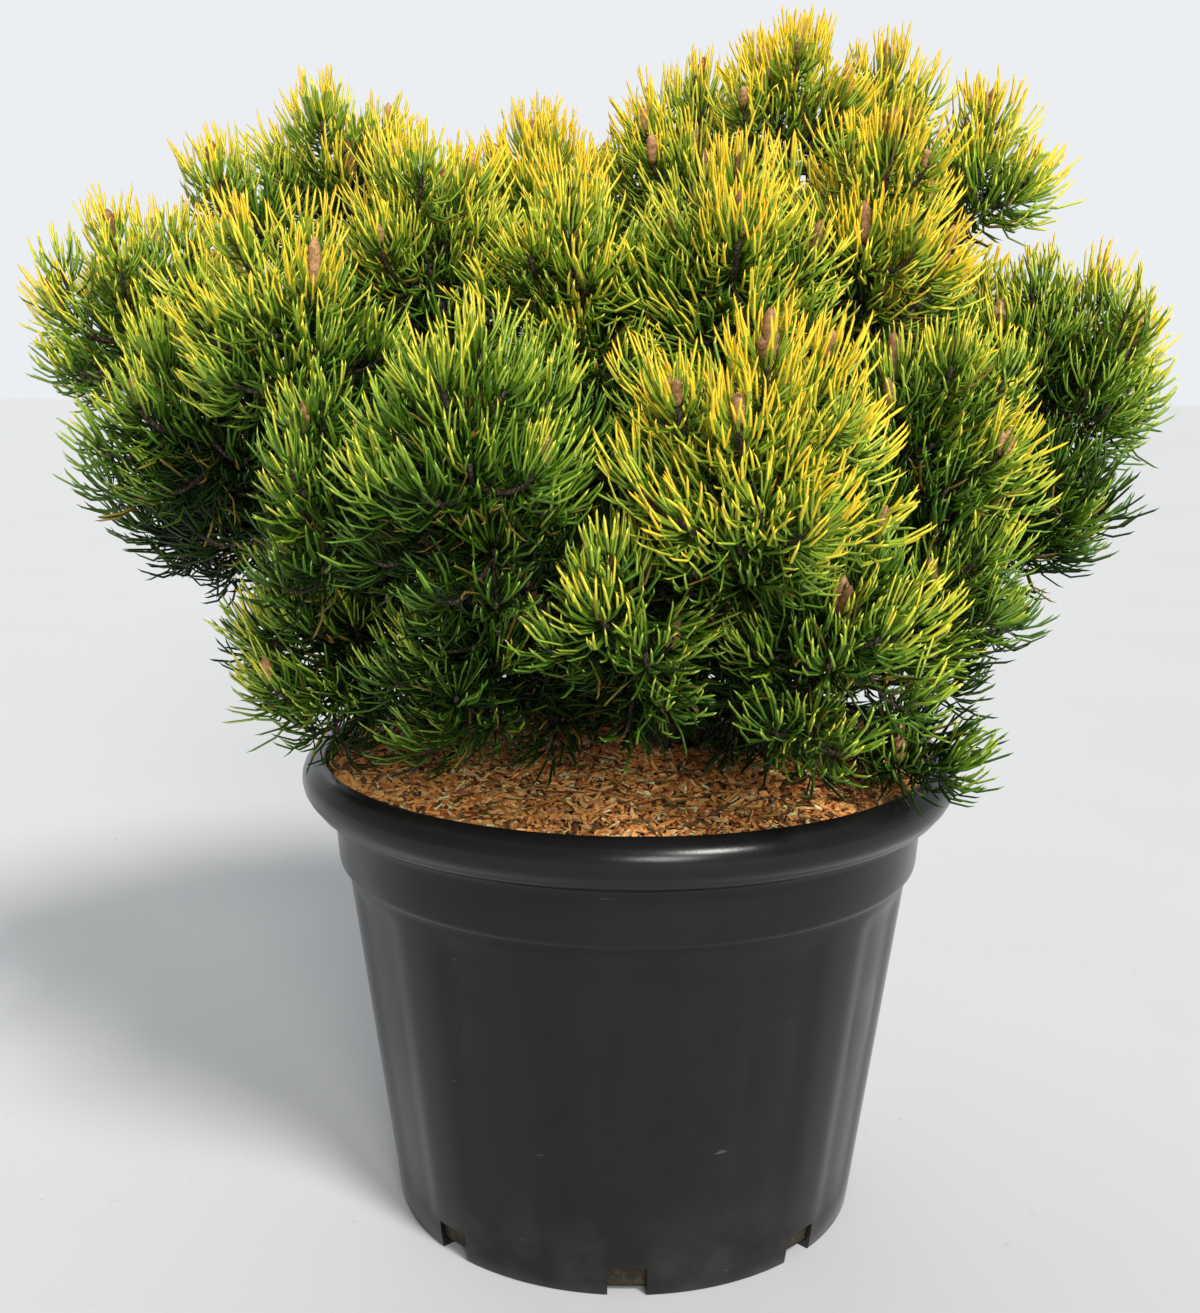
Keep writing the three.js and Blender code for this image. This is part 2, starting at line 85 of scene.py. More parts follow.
# A clump leans to the sky, more the higher it is seen from the trunk's top, and bears its shoots on a dome.
CLUMP = {
    "level_lean": 0.12, "sky_lean": 0.45, "sky_lean_rise": 30, "stem_back": 0.95, "fork_at": 0.3,
    "dome": math.radians(112), "shoots": 6, "spread_of_shoots": 0.11, "shoots_back": 0.35,
    "turn_jitter": 0.5, "tip_reach": 0.92, "tip_jitter": 0.16,
}
STEM_RADIUS = 0.0038
SHOOT_SIZES = (1, 0.86, 0.74, 0.62)
TUFT_SHARE = 0.84
TUFT_WHORLS = ((0.52, 0.42, 1), (0.8, 0.4, 2), (1, 0.17, 2))
SPACE = {"cell": 0.0006, "limb": 0.0012, "needle_root": 0.014}
NEEDLE_SAMPLES = (0, 0.22, 0.44, 0.62)

# The crown, one row for each bough and the mass of foliage on it: the limb it leaves, the share of that
# limb's length where it does, its girth there, one or two clumps as (heading, rise, reach, spread), and how
# much sunnier a tone its needles get than its place alone would give them: partly the needles' own gold,
# partly painted light and painted shade.
CROWN = {
    "peak": ("trunk", 0.97, 0.013, [(8, 77, 0.432, 0.094), (8, 68, 0.450, 0.078)], 0.1),
    "high_left": ("trunk", 0.9, 0.012, [(173, 53, 0.471, 0.091), (178, 43, 0.502, 0.073)], 0.07),
    "arm_left": ("trunk", 0.74, 0.012, [(-179, 31.5, 0.497, 0.116)], 0.06),
    "front_left": ("trunk", 0.84, 0.011, [(-115, 26, 0.372, 0.116)], -0.19),
    "front_gold": ("trunk", 0.8, 0.012, [(-83, 28, 0.367, 0.120)], 0.3),
    "side_right": ("trunk", 0.72, 0.011, [(-3, 24, 0.321, 0.108)], -0.1),
    "shoulder_right": ("trunk", 0.92, 0.012, [(3, 33.5, 0.389, 0.113)], 0.0),
    "back_left": ("trunk", 0.78, 0.011, [(150, 22, 0.374, 0.116), (147, 46, 0.404, 0.114)], 0.0),
    "back_middle": ("trunk", 0.86, 0.012, [(92, 20, 0.334, 0.116), (90, 46, 0.374, 0.114)], 0.0),
    "back_right": ("trunk", 0.8, 0.011, [(33, 22, 0.334, 0.112), (35, 47, 0.374, 0.112)], 0.0),
    "skirt_left": ("trunk", 0.6, 0.008, [(-157, 1.5, 0.288, 0.103)], 0.12),
    "skirt_right": ("trunk", 0.55, 0.007, [(-40, -16, 0.256, 0.072)], 0.05),
    "high_right": ("peak", 0.34, 0.008, [(-2, 57.2, 0.447, 0.082)], 0.06),
    "top": ("peak", 0.28, 0.008, [(139, 67, 0.373, 0.107), (68, 81, 0.391, 0.107)], 0.15),
    "upper_front": ("front_gold", 0.3, 0.008, [(-116, 59, 0.335, 0.100), (-78, 60, 0.340, 0.102)], 0.08),
    "upper_right": ("shoulder_right", 0.3, 0.007, [(-39, 60, 0.362, 0.106)], 0.2),
    "right_front": ("side_right", 0.22, 0.008, [(-43, 36, 0.300, 0.108), (-40, 15, 0.264, 0.094)], 0.0),
    "low_right": ("side_right", 0.3, 0.006, [(-14, 4.5, 0.230, 0.092)], 0.0),
    "low_front_right": ("front_gold", 0.24, 0.006, [(-70, 10, 0.285, 0.100)], 0.12),
    "low_front": ("front_left", 0.26, 0.007, [(-97, 16, 0.328, 0.098)], 0.14),
    "far_left": ("front_left", 0.36, 0.007, [(-136, 24, 0.366, 0.102)], -0.16),
    "skirt_front": ("skirt_left", 0.3, 0.006, [(-128, 3, 0.248, 0.090)], 0.05),
    "low_left": ("arm_left", 0.34, 0.007, [(177, 18.5, 0.403, 0.115)], -0.26),
    "mid_left": ("arm_left", 0.46, 0.007, [(-162, 26, 0.427, 0.104)], -0.28),
    "front_top_left": ("high_left", 0.36, 0.007, [(-151, 37, 0.420, 0.106)], 0.05),
    "top_left": ("high_left", 0.3, 0.007, [(-156, 55, 0.374, 0.102)], 0.06),
    "back_far_left": ("back_left", 0.36, 0.007, [(120, 22, 0.339, 0.114), (118, 48, 0.385, 0.110)], 0.0),
    "back_far_right": ("back_right", 0.36, 0.007, [(62, 22, 0.320, 0.112), (62, 50, 0.376, 0.108)], 0.0),
}

# The masses whose needles are joined in one piece.
NEEDLE_PIECES = {
    "needles_top": ("peak", "high_right", "top", "upper_right"),
    "needles_upper_left": ("high_left", "arm_left", "top_left"),
    "needles_left": ("mid_left", "low_left", "far_left", "front_top_left", "skirt_left"),
    "needles_front_left": ("front_left", "low_front", "skirt_front"),
    "needles_front": ("front_gold", "upper_front", "low_front_right"),
    "needles_right": ("side_right", "shoulder_right", "right_front"),
    "needles_low_right": ("low_right", "skirt_right", "back_right"),
    "needles_back_left": ("back_left", "back_far_left"),
    "needles_back": ("back_middle", "back_far_right"),
}


def seeded_numbers(seed):
    """A small repeatable random source, the same as the solids grow from."""
    state = seed * 7919 + 104729
    while True:
        state = state * 48271 % 2147483647
        yield state / 2147483647


def unit(vectors):
    """The same directions with a length of 1."""
    return vectors / np.linalg.norm(vectors, axis=-1, keepdims=True)


def lerp(low, high, share):
    return low + (high - low) * share


def clamp(value):
    return min(max(value, 0), 1)


def eased(share):
    """A share that starts and ends gently."""
    return share * share * (3 - 2 * share)


def swung(first, second, angle):
    """The direction at an angle from the first direction towards the second, which is square to it."""
    return first * math.cos(angle) + second * math.sin(angle)


def side_directions(directions):
    """Two directions square to each given one and to each other."""
    steep = np.abs(directions[..., 2:]) >= 0.9
    helper = np.where(steep, np.array((1.0, 0.0, 0.0)), UP)
    first = unit(np.cross(helper, directions))
    return first, np.cross(directions, first)


class Limb:
    """A tapering limb along a cubic curve."""

    def __init__(self, controls, root_radius, tip_radius, steps, flare=0.0):
        self.controls = np.array(controls)
        self.root_radius = root_radius
        self.tip_radius = tip_radius
        self.steps = steps
        self.flare = flare

    def point(self, t):
        t = np.asarray(t, float)[..., None]
        a, b, c, d = self.controls
        return a * (1 - t) ** 3 + 3 * b * t * (1 - t) ** 2 + 3 * c * t * t * (1 - t) + d * t ** 3

    def tangent(self, t):
        t = np.asarray(t, float)[..., None]
        a, b, c, d = self.controls
        return unit((b - a) * (1 - t) ** 2 + 2 * (c - b) * t * (1 - t) + (d - c) * t * t)

    def radius(self, t):
        flared = 1 + self.flare * np.exp(-TRUNK["flare_fade"] * t)
        return lerp(self.root_radius, self.tip_radius, t) * flared


class Clump:
    """One ball of shoots: its middle, its spread, the way it grows and the seed of its shoots."""

    def __init__(self, mass, heading, rise, reach, spread, seed, gold_and_painted_light):
        turn, lift = math.radians(heading), math.radians(rise)
        outward = np.array((math.cos(turn) * math.cos(lift), math.sin(turn) * math.cos(lift), math.sin(lift)))
        lean = lerp(CLUMP["level_lean"], CLUMP["sky_lean"], clamp(rise / CLUMP["sky_lean_rise"]))
        self.mass = mass
        self.centre = TRUNK["top"] + outward * reach
        self.spread = spread
        self.growth = unit(outward * (1 - lean) + UP * lean)
        self.seed = seed
        # The mass's shift of needle tone: partly the needles' own gold, partly painted light and painted
        # shade.
        self.gold_and_painted_light = gold_and_painted_light

    def outward(self, share, dome, turn):
        """The direction at a share of a dome's area down from its top, at a turn round it."""
        polar = math.acos(1 - share * (1 - math.cos(dome)))
        return swung(self.growth, swung(*side_directions(self.growth), turn), polar)

    def shoot_root(self, share):
        """Where a shoot leaves the stem: the further down the dome it points, the further back."""
        return self.centre - self.growth * CLUMP["shoots_back"] * self.spread * share


class Plant:
    """Every clump and limb of the plant, and the tests that keep a shoot in its own space."""

    def __init__(self):
        self.twigs = []
        self.clumps = []
        for k, (mass, row) in enumerate(CROWN.items()):
            for order, sizes in enumerate(row[3]):
                self.clumps.append(Clump(mass, *sizes, seed=10 * k + 1 + order, gold_and_painted_light=row[4]))
        self.centres = np.array([clump.centre for clump in self.clumps])
        self.spreads = np.array([clump.spread for clump in self.clumps])
        self.masses = np.array([clump.mass for clump in self.clumps])
        self.limbs = {"trunk": self.trunk()}
        for mass, row in CROWN.items():
            self.limbs[mass] = self.bough(row, self.own(mass)[0])
        starts, ends, radii = [], [], []
        for limb in self.limbs.values():
            shares = np.linspace(0, 1, 2 * limb.steps + 1)
            points = limb.point(shares)
            starts.append(points[:-1])
            ends.append(points[1:])
            radii.append(limb.radius(shares[:-1]))
        self.stretch_starts = np.concatenate(starts)
        self.stretches = np.concatenate(ends) - self.stretch_starts
        self.stretch_radii = np.concatenate(radii)

    def own(self, mass):
        """The clumps of one mass."""
        return [clump for clump in self.clumps if clump.mass == mass]

    def trunk(self):
        rise = UP * (TRUNK["top"][2] - TRUNK["foot"][2]) / 3
        controls = (TRUNK["foot"], TRUNK["foot"] + rise, TRUNK["top"] - rise, TRUNK["top"])
        return Limb(controls, TRUNK["foot_radius"], TRUNK["top_radius"], 7, TRUNK["flare"])

    def bough(self, row, clump):
        """The limb from its carrier to a gap below the foot of its mass."""
        origin, along, root_radius = row[:3]
        carrier = self.limbs[origin]
        start = carrier.point(along)
        foot = self.stem_foot(clump)
        length = np.linalg.norm(foot - start)
        leaving = unit(carrier.tangent(along) + unit(foot - start))
        tip = foot - clump.growth * SEAT_GAP
        controls = (start, start + leaving * BOUGH["leave"] * length,
                    tip - clump.growth * BOUGH["arrive"] * length, tip)
        return Limb(controls, root_radius, BOUGH["tip_radius"], 5 if origin == "trunk" else 4)

    def stem_foot(self, clump):
        """The foot of a mass: as far back along its growth axis as its own space reaches."""
        step = 0.005
        foot = clump.centre
        for k in range(1, int(CLUMP["stem_back"] * clump.spread / step) + 1):
            following = clump.centre - clump.growth * step * k
            if self.room_inside(following[None], clump)[0] < 2 * STEM_RADIUS:
                break
            foot = following
        return foot

    def room_inside(self, points, clump):
        """How far each point is inside the clump's own space, against the clumps of the other masses."""
        others = self.masses != clump.mass
        centres, spreads = self.centres[others], self.spreads[others]
        apart = np.linalg.norm(clump.centre - centres, axis=1)
        here = ((points - clump.centre) ** 2).sum(1) - clump.spread ** 2
        there = ((points[:, None] - centres) ** 2).sum(2) - spreads ** 2
        return ((there - here[:, None]) / (2 * apart)).min(1)

    def holder(self, point):
        """The clump whose space a point is in."""
        return self.clumps[np.argmin(((self.centres - point) ** 2).sum(1) - self.spreads ** 2)]

    def cover(self, point, direction):
        """How much foliage a line from a point runs through: its length inside the clumps' balls."""
        offsets = self.centres - point
        along = offsets @ direction
        half = np.sqrt(np.maximum(self.spreads ** 2 - (offsets ** 2).sum(1) + along ** 2, 0))
        return (np.maximum(along + half, 0) - np.maximum(along - half, 0)).sum()

    def limb_clearance(self, points):
        """The distance of each point from the nearest limb's skin."""
        offsets = points[:, None] - self.stretch_starts
        share = (offsets * self.stretches).sum(2) / (self.stretches ** 2).sum(1)
        nearest = self.stretches * np.clip(share, 0, 1)[..., None]
        return (np.linalg.norm(offsets - nearest, axis=2) - self.stretch_radii).min(1)

    def shoots(self, clump):
        """The roots and tips of a clump's shoots, each at the largest size that fits its space."""
        random = seeded_numbers(clump.seed)
        count = int(CLUMP["shoots"] * (clump.spread / CLUMP["spread_of_shoots"]) ** 2 + 0.5)
        first_turn = next(random) * 2 * math.pi
        found = []
        for i in range(count):
            share = i / (count - 1)
            turn = first_turn + i * GOLDEN_TURN + (next(random) - 0.5) * CLUMP["turn_jitter"]
            outward = clump.outward(share, CLUMP["dome"], turn)
            reach = CLUMP["tip_reach"] + CLUMP["tip_jitter"] * next(random)
            tip = clump.centre + outward * clump.spread * reach
            root = clump.shoot_root(share)
            twist = next(random) * math.pi
            for size in SHOOT_SIZES:
                end = lerp(root, tip, size)
                if self.shoot_fits(root, end, twist, clump):
                    found.append((root, end))
                    break
        return found

    def shoot_fits(self, root, tip, twist, clump):
        """Whether a shoot's widest needles stay in its clump's space and clear of the pot and limbs."""
        corners = self.whorl_points(root, tip, twist)
        if self.room_inside(corners, clump).min() <= SPACE["cell"] or not clear_of_pot(corners).all():
            return False
        for share in NEEDLE_SAMPLES:
            margin = SPACE["limb"] + share * SPACE["needle_root"]
            if self.limb_clearance(lerp(corners, root, share)).min() <= margin:
                return False
        return True

    def whorl_points(self, root, tip, twist):
        """Where the widest needles of a shoot reach: three whorls of four points round its tuft."""
        direction = unit(tip - root)
        length = np.linalg.norm(tip - root) * TUFT_SHARE
        foot = tip - direction * length
        side_a, side_b = side_directions(direction)
        points = []
        for height, radius, half_turns in TUFT_WHORLS:
            for k in range(4):
                across = swung(side_a, side_b, twist + half_turns * math.pi / 4 + k * math.pi / 2)
                points.append(foot + direction * height * length + across * radius * length)
        return np.array(points)


POT_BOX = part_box("pot")
POT_HEIGHT = POT_BOX[1].z
RIM_RADIUS = POT_BOX[1].x
BED = {"edge_radius": 0.2605, "edge_height": 0.399, "level_radius": 0.095, "level_height": 0.411}


def bed_height(radius):
    """The height of the mulch at a distance from the pot's axis."""
    share = np.clip((radius - BED["level_radius"]) / (BED["edge_radius"] - BED["level_radius"]), 0, 1)
    return lerp(BED["level_height"], BED["edge_height"], eased(share))


def from_axis(points):
    """How far each point is from the pot's axis."""
    return np.hypot(points[..., 0], points[..., 1])


def clear_of_pot(points, margin=0.004):
    """Whether each point is over the mulch, over the rim or outside the pot."""
    radius = from_axis(points)
    over_bed = points[:, 2] > bed_height(radius) + margin
    over_rim = points[:, 2] > POT_HEIGHT + margin
    beyond = np.where(radius < RIM_RADIUS + margin, over_rim, True)
    return np.where(radius < BED["edge_radius"], over_bed, beyond)


# --- Settings and shader expressions ---


def dimmed(colour, share):
    """A colour times a number, no brighter than white."""
    return tuple(min(1, share * part) for part in colour)


def colour_setting(name, description, default):
    return bpy.props.FloatVectorProperty(
        name=name, description=description, default=default, subtype="COLOR", size=3, min=0, max=1)


def length_setting(name, description, default, low, high):
    return bpy.props.FloatProperty(
        name=name, description=description, default=default, min=low, max=high,
        subtype="DISTANCE", unit="LENGTH")


def count_setting(name, description, default, low, high):
    return bpy.props.IntProperty(name=name, description=description, default=default, min=low, max=high)


def strength_setting(name, description, default, high=20):
    return bpy.props.FloatProperty(name=name, description=description, default=default, min=0, max=high)


class Wire:
    """A socket of shader nodes: Python's operators on it add Math nodes."""

    def __init__(self, nodes, socket):
        self.nodes = nodes
        self.socket = socket

    def combine(self, operation, first, second):
        return self.nodes.node("ShaderNodeMath", {"operation": operation}, {0: first, 1: second})

    def __add__(self, other):
        return self.combine("ADD", self, other)

    def __radd__(self, other):
        return self.combine("ADD", other, self)

    def __sub__(self, other):
        return self.combine("SUBTRACT", self, other)

    def __rsub__(self, other):
        return self.combine("SUBTRACT", other, self)

    def __mul__(self, other):
        return self.combine("MULTIPLY", self, other)

    def __rmul__(self, other):
        return self.combine("MULTIPLY", other, self)

    def above(self, threshold, softness):
        """0 below the threshold and 1 above it, with a soft step between."""
        settings = {"interpolation_type": "SMOOTHSTEP"}
        inputs = {"Value": self, "From Min": threshold - softness, "From Max": threshold + softness}
        return self.nodes.node("ShaderNodeMapRange", settings, inputs)


class Nodes:
    """The nodes of one tree, all made by one method."""

    def __init__(self, tree):
        self.tree = tree

    def node(self, kind, settings=None, inputs=None, output=0):
        made = self.tree.nodes.new(kind)
        for key, value in (settings or {}).items():
            if key == "stops":
                self.set_stops(made.color_ramp, value)
            else:
                setattr(made, key, value)
        for key, value in (inputs or {}).items():
            self.feed(self.find(made.inputs, key), value)
        return Wire(self, self.find(made.outputs, output))

    def find(self, sockets, key):
        if isinstance(key, int):
            return sockets[key]
        return next(s for s in sockets if key in (s.identifier, s.name))

    def feed(self, socket, value):
        if isinstance(value, Wire):
            self.tree.links.new(value.socket, socket)
        elif socket.type == "RGBA":
            socket.default_value = (*value, 1.0)
        else:
            socket.default_value = value

    def set_stops(self, ramp, stops):
        while len(ramp.elements) < len(stops):
            ramp.elements.new(0.5)
        for element, (place, colour) in zip(ramp.elements, stops):
            element.position = place
            element.color = (*colour, 1.0)


class Paint(Nodes):
    """One material and what its nodes are built from."""

    def __init__(self, name):
        self.material = bpy.data.materials.new(name)
        self.material.use_nodes = True
        super().__init__(self.material.node_tree)
        self.surface = self.tree.nodes["Principled BSDF"]

    def place(self, scale=(1, 1, 1)):
        """The point of the surface on Object coordinates, stretched by a scale."""
        where = self.node("ShaderNodeTexCoord", output="Object")
        return self.node("ShaderNodeMapping", inputs={"Vector": where, "Scale": scale})

    def height(self):
        """Metres above the floor."""
        return self.node("ShaderNodeSeparateXYZ", inputs={0: self.place()}, output="Z")

    def grain(self, scale, detail=4.0, roughness=0.55, stretch=(1, 1, 1), distortion=0.0):
        """Cloudy noise between 0 and 1."""
        inputs = {"Vector": self.place(stretch), "Scale": scale, "Detail": detail,
                  "Roughness": roughness, "Distortion": distortion}
        return self.node("ShaderNodeTexNoise", inputs=inputs, output="Fac")

    def cells(self, scale, stretch):
        """How far a point is inside its cell: 0 on the cracks between the cells."""
        inputs = {"Vector": self.place(stretch), "Scale": scale}
        return self.node("ShaderNodeTexVoronoi", {"feature": "DISTANCE_TO_EDGE"}, inputs, "Distance")

    def mix(self, low, high, share):
        inputs = {"Factor_Float": share, "A_Color": low, "B_Color": high}
        return self.node("ShaderNodeMix", {"data_type": "RGBA"}, inputs, "Result_Color")

    def bump(self, height, strength, distance):
        """A normal that leans as if the surface rose by the height, at a distance in metres."""
        inputs = {"Height": height, "Strength": strength, "Distance": distance}
        return self.node("ShaderNodeBump", inputs=inputs, output="Normal")

    def finish(self, **sockets):
        """Sets the surface's own sockets, named with _ for a space, and returns the material."""
        for key, value in sockets.items():
            self.feed(self.surface.inputs[key.replace("_", " ").title().replace("Ior", "IOR")], value)
        return self.material


def needle_paint(name, colour, wax=0.3):
    """A waxy needle: one plain colour, with a sheen that wears thin in places."""
    paint = Paint(name)
    worn = 0.28 + 0.25 * paint.grain(60)
    return paint.finish(base_color=colour, roughness=worn, specular_ior_level=wax)


def bark_paint(name, colour, crevice, plate_scale):
    """Flaking bark: plates between dark crevices, with fine grain along them."""
    paint = Paint(name)
    plates = paint.cells(plate_scale, stretch=(1, 1, 0.45))
    grain = paint.grain(plate_scale * 3, detail=8)
    lit = paint.mix(dimmed(colour, 0.55), colour, grain)
    tone = paint.mix(crevice, lit, plates.above(0.09, 0.08))
    relief = paint.bump(plates.above(0.1, 0.1) + 0.4 * grain, 0.8, 0.0016)
    return paint.finish(base_color=tone, roughness=0.95 - 0.2 * grain, normal=relief)


def bud_paint(name, colour, edge):
    """A resinous bud: papery scales with pale edges."""
    paint = Paint(name)
    scales = paint.cells(620, stretch=(1, 1, 0.6))
    flecks = paint.grain(240)
    tone = paint.mix(edge, colour, scales.above(0.16, 0.12))
    tone = paint.mix(tone, dimmed(colour, 0.5), 0.7 * flecks.above(0.55, 0.12))
    dull = 0.4 + 0.35 * flecks
    return paint.finish(base_color=tone, roughness=dull, normal=paint.bump(scales, 0.5, 0.0006))


def chip_paint(name, colour):
    """Shredded bark: fibres along the chip, darker in its pores."""
    paint = Paint(name)
    fibres = paint.grain(330, detail=6, stretch=(1, 0.35, 1))
    tone = paint.mix(dimmed(colour, 0.45), dimmed(colour, 1.2), fibres)
    dull = 0.95 - 0.25 * fibres
    return paint.finish(base_color=tone, roughness=dull, normal=paint.bump(fibres, 0.5, 0.0008))


def soil_paint(name, colour, dark, damp):
    """Crumbly growing medium between the chips, darker towards the foot: painted shade where the drainage
    notches show it.
    """
    paint = Paint(name)
    crumbs = paint.grain(150, detail=9, roughness=0.7)
    # Low in the pot the medium takes the darker colour: painted shade for the drainage notches.
    lit = paint.mix(damp, colour, paint.height().above(0.2, 0.12))
    tone = paint.mix(dark, lit, crumbs.above(0.52, 0.14))
    dull = 0.97 - 0.1 * crumbs
    return paint.finish(base_color=tone, roughness=dull, normal=paint.bump(crumbs, 1.0, 0.003))


def plastic_paint(name, colour, dust):
    """Recycled plastic with a satin skin: flow marks down the wall, scuffs, and dust near the foot."""
    paint = Paint(name)
    flow = paint.grain(9, detail=3, stretch=(1, 1, 0.12))
    mottle = paint.grain(26, detail=6)
    fine = paint.grain(420, detail=3)
    scratches = paint.grain(34, detail=2, stretch=(1, 1, 7), distortion=0.4)
    scuffs = scratches.above(0.74, 0.015) * mottle.above(0.56, 0.06)
    low = 1 - paint.height().above(0.05, 0.05)
    dusty = 0.4 * scuffs + low * mottle.above(0.5, 0.15) * 0.1 + 0.05 * mottle
    tone = paint.mix(dimmed(colour, 0.78), colour, flow)
    tone = paint.mix(tone, dust, dusty)
    gloss = 0.15 + 0.08 * mottle + 0.08 * flow + 0.25 * scuffs
    relief = paint.bump(0.5 * flow + 0.16 * fine - 0.3 * scuffs, 0.35, 0.0012)
    return paint.finish(base_color=tone, roughness=gloss, normal=relief, specular_ior_level=0.26)


def floor_paint(name, colour):
    """A painted studio floor, worn and specked."""
    paint = Paint(name)
    worn = paint.grain(2.2, detail=5)
    specks = paint.grain(60, detail=2).above(0.74, 0.02)
    tone = paint.mix(dimmed(colour, 0.93), colour, worn)
    tone = paint.mix(tone, dimmed(colour, 0.7), 0.5 * specks)
    return paint.finish(base_color=tone, roughness=0.55 + 0.2 * worn)


# --- Meshes ---


def start_fresh():
    """Leaves edit mode and deselects everything."""
    if bpy.context.object and bpy.context.object.mode != "OBJECT":
        bpy.ops.object.mode_set(mode="OBJECT")
    bpy.ops.object.select_all(action="DESELECT")


def added(name):
    """Names the object that the last operator added."""
    piece = bpy.context.object
    piece.name = name
    piece.data.name = name
    return piece


def mesh_piece(name, points, triangles, paints, slots=None):
    """One joined mesh from arrays: corners, triangles, materials and the material slot of each triangle."""
    if len(triangles) >= MAX_PIECE_TRIANGLES:
        raise RuntimeError(f"{name} has {len(triangles)} triangles, {MAX_PIECE_TRIANGLES} at most")
    mesh = bpy.data.meshes.new(name)
    mesh.vertices.add(len(points))
    mesh.vertices.foreach_set("co", np.asarray(points, np.float32).ravel())
    mesh.loops.add(3 * len(triangles))
    mesh.loops.foreach_set("vertex_index", np.asarray(triangles, np.int32).ravel())
    mesh.polygons.add(len(triangles))
    mesh.polygons.foreach_set("loop_start", np.arange(0, 3 * len(triangles), 3, dtype=np.int32))
    for paint in paints:
        mesh.materials.append(paint)
    if slots is not None:
        mesh.polygons.foreach_set("material_index", np.asarray(slots, np.int32))
    mesh.update(calc_edges=True)
    mesh.polygons.foreach_set("use_smooth", np.ones(len(triangles), bool))
    piece = bpy.data.objects.new(name, mesh)
    bpy.context.scene.collection.objects.link(piece)
    return piece


def tube_faces(rings, sides):
    """The triangles of a closed tube: its skin and a fan over each end."""
    faces = []
    for i in range(rings - 1):
        for j in range(sides):
            a, b = i * sides + j, i * sides + (j + 1) % sides
            faces += [(a, b, b + sides), (a, b + sides, a + sides)]
    last = (rings - 1) * sides
    for j in range(1, sides - 1):
        faces += [(0, j + 1, j), (last, last + j, last + j + 1)]
    return np.array(faces)


def tube_points(path, radii, sides):
    """Rings of corners along a path, turned as little as the path allows."""
    tangents = unit(np.gradient(path, axis=0))
    normal = side_directions(tangents[0])[0]
    turns = np.arange(sides) * 2 * math.pi / sides
    rings = []
    for centre, tangent, radius in zip(path, tangents, radii):
        normal = unit(normal - tangent * (normal @ tangent))
        binormal = np.cross(tangent, normal)
        circle = np.cos(turns)[:, None] * normal + np.sin(turns)[:, None] * binormal
        rings.append(centre + circle * np.reshape(radius, (-1, 1)))
    return np.concatenate(rings)


class Joined:
    """Gathers many small closed shapes into the arrays of one mesh."""

    def __init__(self):
        self.points, self.faces, self.slots, self.count = [], [], [], 0

    def add(self, points, faces, slots=0):
        self.points.append(points)
        self.faces.append(faces + self.count)
        self.slots.append(np.broadcast_to(slots, len(faces)))
        self.count += len(points)

    def piece(self, name, paints):
        points, faces, slots = map(np.concatenate, (self.points, self.faces, self.slots))
        return mesh_piece(name, points, faces, paints, slots)


# --- Pot ---

POT_SEGMENTS = 192
FLUTES = {"count": 12, "depth": 0.0030, "low": 0.02, "high": 0.309, "fade": 0.016, "rib": 0.12, "rise": 0.66}
NOTCH = {"count": 8, "width": 0.032, "height": 0.026, "depth": 0.015}
BODY = {"base_radius": 0.2045, "top_radius": 0.246, "top": 0.316}

# The rest of the pot's wall as (radius, height), up the collar, round the rim and down to the mouth.
COLLAR_AND_RIM = [
    (0.2475, 0.3164), (0.2510, 0.3170), (0.2524, 0.3186), (0.2531, 0.3215), (0.2545, 0.340),
    (0.2558, 0.3575), (0.2566, 0.3625), (0.2590, 0.3652), (0.2650, 0.3672), (0.2700, 0.3690),
    (0.2732, 0.3718), (0.2748, 0.3745), (0.2762, 0.3765), (0.2790, 0.3790), (0.2815, 0.3835),
    (0.2828, 0.3890), (0.2826, 0.3945), (0.2808, 0.3998), (0.2775, 0.4043), (0.2732, 0.4076),
    (0.2690, 0.4094), (0.2655, 0.4096), (0.2634, 0.4080), (0.2623, 0.4044),
]
INNER_WALL = [
    (0.2619, 0.399), (0.2520, 0.372), (0.2500, 0.340), (0.2490, 0.324), (0.2420, 0.312), (0.2280, 0.200),
    (0.2090, 0.060), (0.2012, 0.0075), (0.1980, 0.005),
]


def body_radius(height):
    """The radius of the pot's tapered wall before its flutes are pressed in."""
    return lerp(BODY["base_radius"], BODY["top_radius"], height / BODY["top"])


def pot_profile():
    """The pot's wall as (radius, height), from the edge of its underside to the edge of its floor inside."""
    foot = [(BODY["base_radius"] - 0.0012, 0.0), (BODY["base_radius"], 0.0015)]
    heights = [0.012, 0.02, 0.026, 0.034, 0.06, 0.11, 0.16, 0.21, 0.26, 0.286, 0.295, 0.302, 0.309, 0.314]
    wall = [(body_radius(height), height) for height in heights]
    return foot + wall + COLLAR_AND_RIM + INNER_WALL


def press_flutes(mesh):
    """Draws the outer wall in along broad upright flutes with soft shoulders."""
    slack = 0.0008
    for corner in mesh.vertices:
        x, y, z = corner.co
        radius = math.hypot(x, y)
        if not FLUTES["low"] - slack < z < FLUTES["high"] + slack or radius < body_radius(z) - slack:
            continue
        wave = 0.5 + 0.5 * math.cos(FLUTES["count"] * math.atan2(y, x))
        wave = clamp((wave - FLUTES["rib"]) / FLUTES["rise"])
        ends = min(z - FLUTES["low"], FLUTES["high"] - z) / FLUTES["fade"]
        depth = FLUTES["depth"] * eased(wave) * clamp(ends)
        corner.co.x *= 1 - depth / radius
        corner.co.y *= 1 - depth / radius


